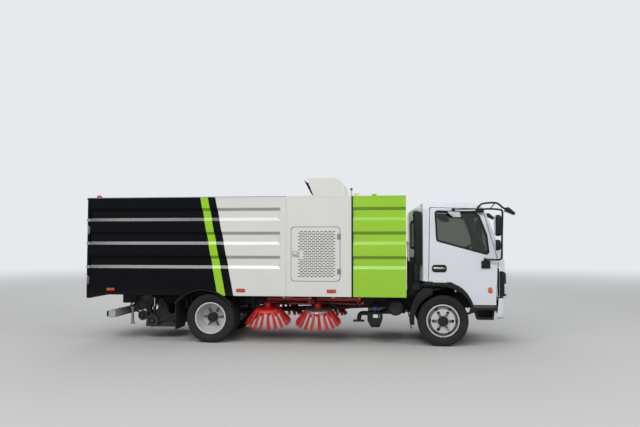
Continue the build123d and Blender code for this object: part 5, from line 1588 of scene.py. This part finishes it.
def doorTrim():
    inner = cabSide(1.2) - 0.0455
    panel = softBlock((2.3, inner - 0.014, 1.06), (3.12, inner, 1.43), 0.006)
    rest = softBlock((2.42, inner - 0.06, 1.23), (2.86, inner - 0.01, 1.28), 0.016)
    pull = tube("doorPull", [(2.62, inner - 0.05, 1.28), (2.66, inner - 0.06, 1.34), (2.86, inner - 0.05, 1.38),
                             (2.9, inner - 0.012, 1.36)], 0.009, 8)
    speaker = turnedRing([(inner - 0.02, 0.0), (inner - 0.02, 0.062), (inner - 0.014, 0.07), (inner - 0.01, 0.07)],
                         (2.96, 0, 1.15), 32, closed=False)
    return join(panel, rest, pull, smooth(speaker))


bothSides(doorTrim(), "doorTrim", "cab_door_SIDE", cabTrim)
print("cab inside fitted")

# underneath: nozzle wheels, leg pipes, hoses, arm cylinders, caps and bolts
nozzleWheels = [
    # x, z, radius
    (-2.502, 0.31, 0.105),
    (-2.674, 0.4, 0.085),
]


def nozzleHub(x, z, radius):
    cap = turnedRing([(0.735, 0.0), (0.735, radius * 0.6), (0.739, radius * 0.6), (0.741, radius * 0.34),
                      (0.752, radius * 0.3), (0.753, 0.0)], (x, 0, z), 32, closed=False)
    bolts = around(hexBolt((x + radius * 0.47, 0.739, z), (0, 1, 0), 0.013, 0.006, 0.009), 5, (x, 0, z))
    middle = boss((x, 0.75, z), (x, 0.76, z), radius * 0.2, 20)
    return join(smooth(cap), bolts), middle


hubs = [nozzleHub(*wheel) for wheel in nozzleWheels]
bothSides(join(*[hub[0] for hub in hubs]), "nozzleWheelHubs", "chassis", blackPlastic)
bothSides(join(*[hub[1] for hub in hubs]), "nozzleWheelMiddles", "chassis", rust)


def nozzleLift():
    # plates and links between the nozzle's end and the frame
    plate = sideBlock([(-2.56, 0.392), (-2.395, 0.33), (-2.15, 0.3), (-2.1, 0.372), (-2.23, 0.47),
                       (-2.3, 0.64), (-2.4, 0.69), (-2.42, 0.52)], 0.694, 0.704, 0, 0.002)
    brace = sideBlock([(-2.44, 0.3), (-2.4, 0.28), (-2.01, 0.445), (-2.02, 0.49)], 0.706, 0.722, 0, 0.003)
    post = softBlock((-2.385, 0.64, 0.52), (-2.325, 0.692, 0.7), 0.006)
    pins = [boss((x, 0.69, z), (x, 0.734, z), 0.019, 20)
            for x, z in ((-2.415, 0.318), (-2.045, 0.462), (-2.35, 0.6))]
    return join(plate, brace, post, *pins)


bothSides(nozzleLift(), "nozzleLift", "chassis", framePaint)

elbowShape = {
    "line": [(-2.56, 0.64, 0.42), (-2.6, 0.66, 0.52), (-2.56, 0.67, 0.62), (-2.5, 0.66, 0.715)],
    "radius": 0.046,
    "rings": 13,
    "ringRadius": 0.052,
    "bow": 0.012,
}


def suctionElbow():
    # a corrugated hose from the nozzle up to the hopper's floor
    foot, bend, _, top = (Vector(point) for point in elbowShape["line"])
    half = Vector((0, 0, 0.006))
    pieces = [tube("suctionElbow", elbowShape["line"], elbowShape["radius"], 20)]
    for step in range(elbowShape["rings"]):
        share = (step + 0.5) / elbowShape["rings"]
        spot = foot.lerp(bend, share * 2) if share < 0.5 else bend.lerp(top, share * 2 - 1)
        spot.x -= elbowShape["bow"] * math.sin(math.pi * share)
        pieces.append(boss(spot - half, spot + half, elbowShape["ringRadius"], 20, 0.003))
    return join(*pieces)


bothSides(suctionElbow(), "suctionElbow", "chassis", hoseRubber)
liftRod = join(smooth(rod((-2.475, 0.712, 0.7), (-2.475, 0.712, 0.56), 0.011, 20)),
               boss((-2.475, 0.712, 0.545), (-2.475, 0.712, 0.565), 0.02, 20))
bothSides(liftRod, "nozzleLiftRod", "chassis", chrome)
liftBarrel = boss((-2.475, 0.712, 0.56), (-2.475, 0.712, 0.44), 0.026, 24, 0.003)
bothSides(liftBarrel, "nozzleLiftBarrel", "chassis", blackPlastic)


def legPipe():
    pipe = turnedPost(-2.832, 0.8, [(0.262, 0.0), (0.262, 0.036), (0.272, 0.037), (0.305, 0.025), (0.33, 0.0225),
                                      (0.56, 0.0225), (0.566, 0.0)])
    arm = tube("legPipeArm", [(-2.832, 0.8, 0.545), (-2.832, 0.76, 0.56), (-2.832, 0.52, 0.64),
                              (-2.832, 0.425, 0.65)], 0.016)
    collar = turnedPost(-2.832, 0.8, [(0.52, 0.0), (0.52, 0.031), (0.56, 0.031), (0.56, 0.0)])
    return join(pipe, arm, collar)


bothSides(legPipe(), "legPipe", "chassis", galvanised)

railHoses = [
    # radius, points along the left rail
    (0.011, [(-2.95, 0.436, 0.672), (-2.3, 0.438, 0.69), (-1.0, 0.438, 0.676), (0.2, 0.438, 0.694),
             (1.08, 0.438, 0.678)]),
    (0.008, [(-2.95, 0.436, 0.702), (-1.6, 0.436, 0.716), (-0.4, 0.436, 0.708), (1.08, 0.436, 0.714)]),
]
for number, (radius, points) in enumerate(railHoses):
    bothSides(tube("railHose", points, radius, 12), f"railHose{number}", "chassis", hoseRubber)


def freeHose(name, points, radius):
    # one hose a side, hanging between its two fittings
    for side, hand in hands:
        route = [(x, hand * y, z) for x, y, z in points]
        hose = softLine(f"{name}_{side}", route, radius, 16)
        hose.data.materials.append(hoseRubber)
        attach(hose, "chassis")
        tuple(route[0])


rearHoses = [
    (0.013, [(-2.95, 0.3, 0.66), (-3.02, 0.42, 0.6), (-2.98, 0.55, 0.5), (-2.76, 0.6, 0.42),
             (-2.585, 0.6, 0.362)]),
    (0.01, [(-2.9, 0.33, 0.7), (-2.93, 0.5, 0.66), (-2.84, 0.6, 0.56), (-2.7, 0.56, 0.42),
             (-2.58, 0.5, 0.368)]),
]
for number, (radius, points) in enumerate(rearHoses):
    freeHose(f"nozzleHose{number}", points, radius)

brushHose = {
    "radius": 0.013,
    "front": [(0.4, 0.722, 0.664), (0.5, 0.73, 0.672), (0.64, 0.742, 0.6), (0.8, 0.746, 0.556),
              (0.96, 0.738, 0.584), (1.08, 0.7, 0.664), (1.11, 0.56, 0.69), (1.112, 0.425, 0.692)],
    "rear": [(-0.446, 0.722, 0.664), (-0.37, 0.726, 0.676), (-0.25, 0.7, 0.64), (-0.12, 0.64, 0.64),
             (-0.03, 0.54, 0.668), (0.0, 0.425, 0.68)],
}
motorShape = {
    "cap": (0.7105, 0.668),
    "radius": 0.046,
    "boltReach": (0.036, 0.035),
    "lean": (0, -0.2079, 0.9781),
}
armShape = {
    "pivot": 0.69,
    "clampBolts": {"x": 0.042, "y": 0.437, "z": (0.622, 0.735)},
}


def motorCap(x):
    y, z = motorShape["cap"]
    bolts = []
    for degrees in (45, 135, 225, 315):
        angle = math.radians(degrees)
        along, across = motorShape["boltReach"]
        spot = (x + along * math.cos(angle), y + across * math.sin(angle), z - 0.0015)
        bolts.append(hexBolt(spot, motorShape["lean"], 0.012, 0.006))
    return join(boss((x, y + 0.003, z - 0.0145), (x, y, z), motorShape["radius"], 32, 0.005), *bolts)


def armCylinder(pivot):
    barrel = boss((pivot - 0.03, 0.56, 0.69), (pivot - 0.3, 0.575, 0.716), 0.021, 24, 0.003)
    return join(barrel, boss((pivot - 0.02, 0.545, 0.69), (pivot - 0.02, 0.59, 0.69), 0.02, 20))


def armRam(pivot):
    ram = smooth(rod((pivot - 0.298, 0.575, 0.7158), (pivot - 0.45, 0.583, 0.722), 0.01, 20))
    return join(ram, boss((pivot - 0.452, 0.572, 0.7215), (pivot - 0.452, 0.602, 0.7215), 0.017, 20))


def armBolts(pivot):
    x, y, heights = armShape["clampBolts"].values()
    bolts = [hexBolt((pivot + way * x, y, z), (0, 1, 0), 0.018, 0.01, 0.014) for way in (-1, 1) for z in heights]
    return join(*bolts, boss((pivot, 0.584, 0.711), (pivot, 0.616, 0.711), 0.016, 20))


for label, x in brushShape["x"].items():
    freeHose(f"{label}BrushHose", brushHose[label], brushHose["radius"])
    fitting = boss((x + 0.004, 0.72, 0.66), (x + 0.042, 0.722, 0.664), 0.017, 6, 0.002)
    bothSides(fitting, f"{label}HoseFitting", "chassis", steel)
    bothSides(motorCap(x), f"{label}MotorCap", "chassis", castIron)
    pivot = x + armShape["pivot"]
    bothSides(armCylinder(pivot), f"{label}ArmCylinder", "chassis", blackPlastic)
    bothSides(armRam(pivot), f"{label}ArmRam", "chassis", chrome)
    bothSides(armBolts(pivot), f"{label}ArmBolts", "chassis", steel)

ureaCap = turnedPost(1.323, -0.89, [
    (0.564, 0.0), (0.564, 0.0466), (0.572, 0.0472), (0.6, 0.0466), (0.6035, 0.043), (0.6035, 0.03), (0.6015, 0.028),
    (0.6015, 0.0),
], 36)
place(ureaCap, "ureaTankCap", "chassis", bluePlastic)


def fuelCap():
    base, way = Vector((1.445, 0.88, 0.69)), Vector((0, 0.5, 0.866))
    cap = boss(base + way * 0.04, base + way * 0.0505, 0.048, 36, 0.003)
    grip = softBlock((-0.034, -0.006, 0), (0.034, 0.006, 0.01), 0.003)
    swing(grip, base + way * 0.049, -30, "X")
    return join(cap, grip)


place(fuelCap(), "fuelCap", "chassis", blackPlastic)
railBolts = [hexBolt((x - 0.016, 0.425, z), (0, 1, 0), 0.016, 0.009, 0.012)
             for x in (-3.0, -2.7, -2.2, -1.992, -0.96, -0.792, -0.1, 0.7, 1.38, 1.788, 1.86, 3.028)
             for z in (0.64, 0.704)]
bothSides(join(*railBolts), "railBolts", "chassis", castIron)
springBolts = []
for label, boltX, top, low in (("frontX", 0.05, 0.453, 0.288), ("rearX", 0.078, 0.543, 0.327)):
    for way in (-1, 1):
        for y in (0.384, 0.47):
            x = tyreShape[label] + way * boltX
            springBolts += [hexBolt((x, y, z), (0, 0, up), 0.019, 0.012) for z, up in ((top, 1), (low, -1))]
bothSides(join(*springBolts), "springBolts", "chassis", steel)
print("underneath fitted")

# intake slats, the hood's mouth, and the shield, filter and pipe behind the cab
headSlats = [softBlock((1.944, -1.0085, 2.03 + row * 0.014), (2.04, -0.915, 2.034 + row * 0.014), 0.0012, 1)
             for row in range(6)]
place(join(*headSlats), "intakeSlats", "chassis", blackPlastic)
mouthBars = []
for row in range(5):
    x, z = 0.07 + row * 0.036, 2.745 - row * 0.068
    mouthBars.append(rod((x, -0.309, z), (x, 0.309, z), 0.004, 10))
mouthBars += [rod((0.064, y, 2.752), (0.225, y, 2.452), 0.004, 10) for y in (-0.2, -0.1, 0, 0.1, 0.2)]
place(smooth(join(*mouthBars)), "hoodMouthGrid", "chassis", darkVoid)
shield = softBlock((1.842, -0.9, 0.8), (2.05, -0.89, 1.42), 0.003)
x, y = 1.985, -0.952
canister = [boss((x, y, 1.03), (x, y, 1.32), 0.054, 36, 0.006)]
canister += [boss((x, y, z), (x, y, z + 0.012), 0.0565, 36) for z in (1.06, 1.18, 1.29)]
lines = [tube("shieldLine", [(1.86, y, 0.82), (1.87, y, 1.0), (1.858, y, 1.2), (1.88, y, 1.38)], 0.01, 10)
         for y in (-0.915, -0.945)]
place(join(shield, *canister, *lines), "airFilter", "chassis", blackPlastic)
pipe = tube("chargePipe", [(1.87, -0.962, 1.36), (1.868, -0.962, 1.47), (1.862, -0.96, 1.58), (1.857, -0.92, 1.64),
                           (1.8555, -0.78, 1.655), (1.8555, -0.64, 1.655)], 0.0175, 20)
place(pipe, "chargePipe", "chassis", greyPaint)
plan = [(1.972, -0.912), (2.06, -0.912), (2.082, -1.009), (1.972, -1.009)]
shroud = flatShape([(x, y, 1.725) for x, y in plan])
modify(shroud, "SOLIDIFY", thickness=0.85, offset=0)
roundEdges(shroud, 0.008, 3, 50)
place(smooth(shroud), "intakeShroud", "chassis", blackPlastic)
tankLabel = softBlock((1.297, -0.9624, 0.441), (1.402, -0.9596, 0.494), 0.0005, 1)
place(tankLabel, "tankLabel", "chassis", whitePaint)
print("intake and hood fitted")

# camera, floor and light
cameraPlace = {
    "at": (1.641, -11.115, 1.674),
    "turn": 6.795,
    "lift": 2.569,
    "roll": 0.002,
    "lens": 35.0,
}


def setCamera():
    letGo()
    bpy.ops.object.camera_add(location=cameraPlace["at"])
    camera = bpy.context.object
    turn = Matrix.Rotation(math.radians(cameraPlace["turn"]), 4, "Z")
    lift = Matrix.Rotation(math.radians(90 + cameraPlace["lift"]), 4, "X")
    roll = Matrix.Rotation(math.radians(cameraPlace["roll"]), 4, "Z")
    camera.matrix_world = Matrix.Translation(cameraPlace["at"]) @ turn @ lift @ roll
    camera.data.lens = cameraPlace["lens"]
    camera.data.sensor_width = 36
    camera.data.clip_end = 400
    camera.name = "photoCamera"
    bpy.context.scene.camera = camera


studio = {
    "backdrop": (0.80, 0.82, 0.84, 1),
    "floorSize": 160,
    "fade": (7, 34),
    "skyLow": (0.02, (0.15, 0.155, 0.165, 1)),
    "skyHigh": (0.45, (0.62, 0.64, 0.67, 1)),
    "lamps": [
        # place, aimed at, width, height, power
        ((-4.0, -15.0, 13.0), (0, -1, 1.2), 16, 5, 1900),
        ((11.0, -7.0, 9.0), (1.5, 0, 1.2), 8, 5, 480),
        ((-3.0, 13.0, 10.0), (0, 0, 1.4), 12, 6, 700),
    ],
}


def seenDirectly(tree):
    # 1 for rays from the camera, a mirror or through glass
    rays = newNode(tree, "LightPath", {}).outputs
    seen = calc(tree, "ADD", rays["Is Camera Ray"], rays["Is Glossy Ray"])
    return calc(tree, "ADD", seen, rays["Is Transmission Ray"], True)


def setFloor():
    letGo()
    bpy.ops.mesh.primitive_plane_add(size=studio["floorSize"], location=(0, 0, -0.001))
    floor = bpy.context.object
    floor.name = "studioFloor"
    material, tree, shader = newMaterial("floorPale")
    clouds = newNode(tree, "TexNoise", {"Scale": 0.4}).outputs["Fac"]
    pale = mixColour(tree, clouds, srgb(186, 185, 183), srgb(180, 179, 177))
    feed(tree, shader, {"Roughness": 0.9, "Base Color": pale})
    axes = axesOf(tree)
    start, end = studio["fade"]
    fade = newNode(tree, "MapRange", {
        "From Min": start, "From Max": end, "Value": reachOf(tree, {"X": axes["X"], "Y": axes["Y"]}),
    }, interpolation_type="SMOOTHSTEP")
    far = newNode(tree, "Emission", {"Color": studio["backdrop"]})
    share = calc(tree, "MULTIPLY", fade.outputs[0], seenDirectly(tree))
    blend = newNode(tree, "MixShader", {0: share, 1: shader.outputs[0], 2: far.outputs[0]})
    feed(tree, tree.nodes["Material Output"], {"Surface": blend.outputs[0]})
    floor.data.materials.append(material)


def setLight():
    for number, (spot, aim, width, height, power) in enumerate(studio["lamps"]):
        letGo()
        bpy.ops.object.light_add(type="AREA", location=spot)
        lamp = bpy.context.object
        lamp.name = f"softBox{number}"
        lamp.data.shape = "RECTANGLE"
        lamp.data.size = width
        lamp.data.size_y = height
        lamp.data.energy = power
        lamp.rotation_euler = (Vector(aim) - Vector(spot)).to_track_quat("-Z", "Y").to_euler()
    world = bpy.data.worlds.new("studioSky")
    bpy.context.scene.world = world
    world.use_nodes = True
    tree = world.node_tree
    where = newNode(tree, "TexCoord", {}).outputs["Generated"]
    ramp = newNode(tree, "ValToRGB", {0: newNode(tree, "SeparateXYZ", {0: where}).outputs["Z"]})
    for element, (position, colour) in zip(ramp.color_ramp.elements, (studio["skyLow"], studio["skyHigh"])):
        element.position = position
        element.color = colour
    seen = mixColour(tree, seenDirectly(tree), ramp.outputs[0], studio["backdrop"])
    feed(tree, tree.nodes["Background"], {"Color": seen, "Strength": 1})
    bpy.context.scene.view_settings.view_transform = "Standard"


setCamera()
setFloor()
setLight()
print("camera, floor and lamps set")
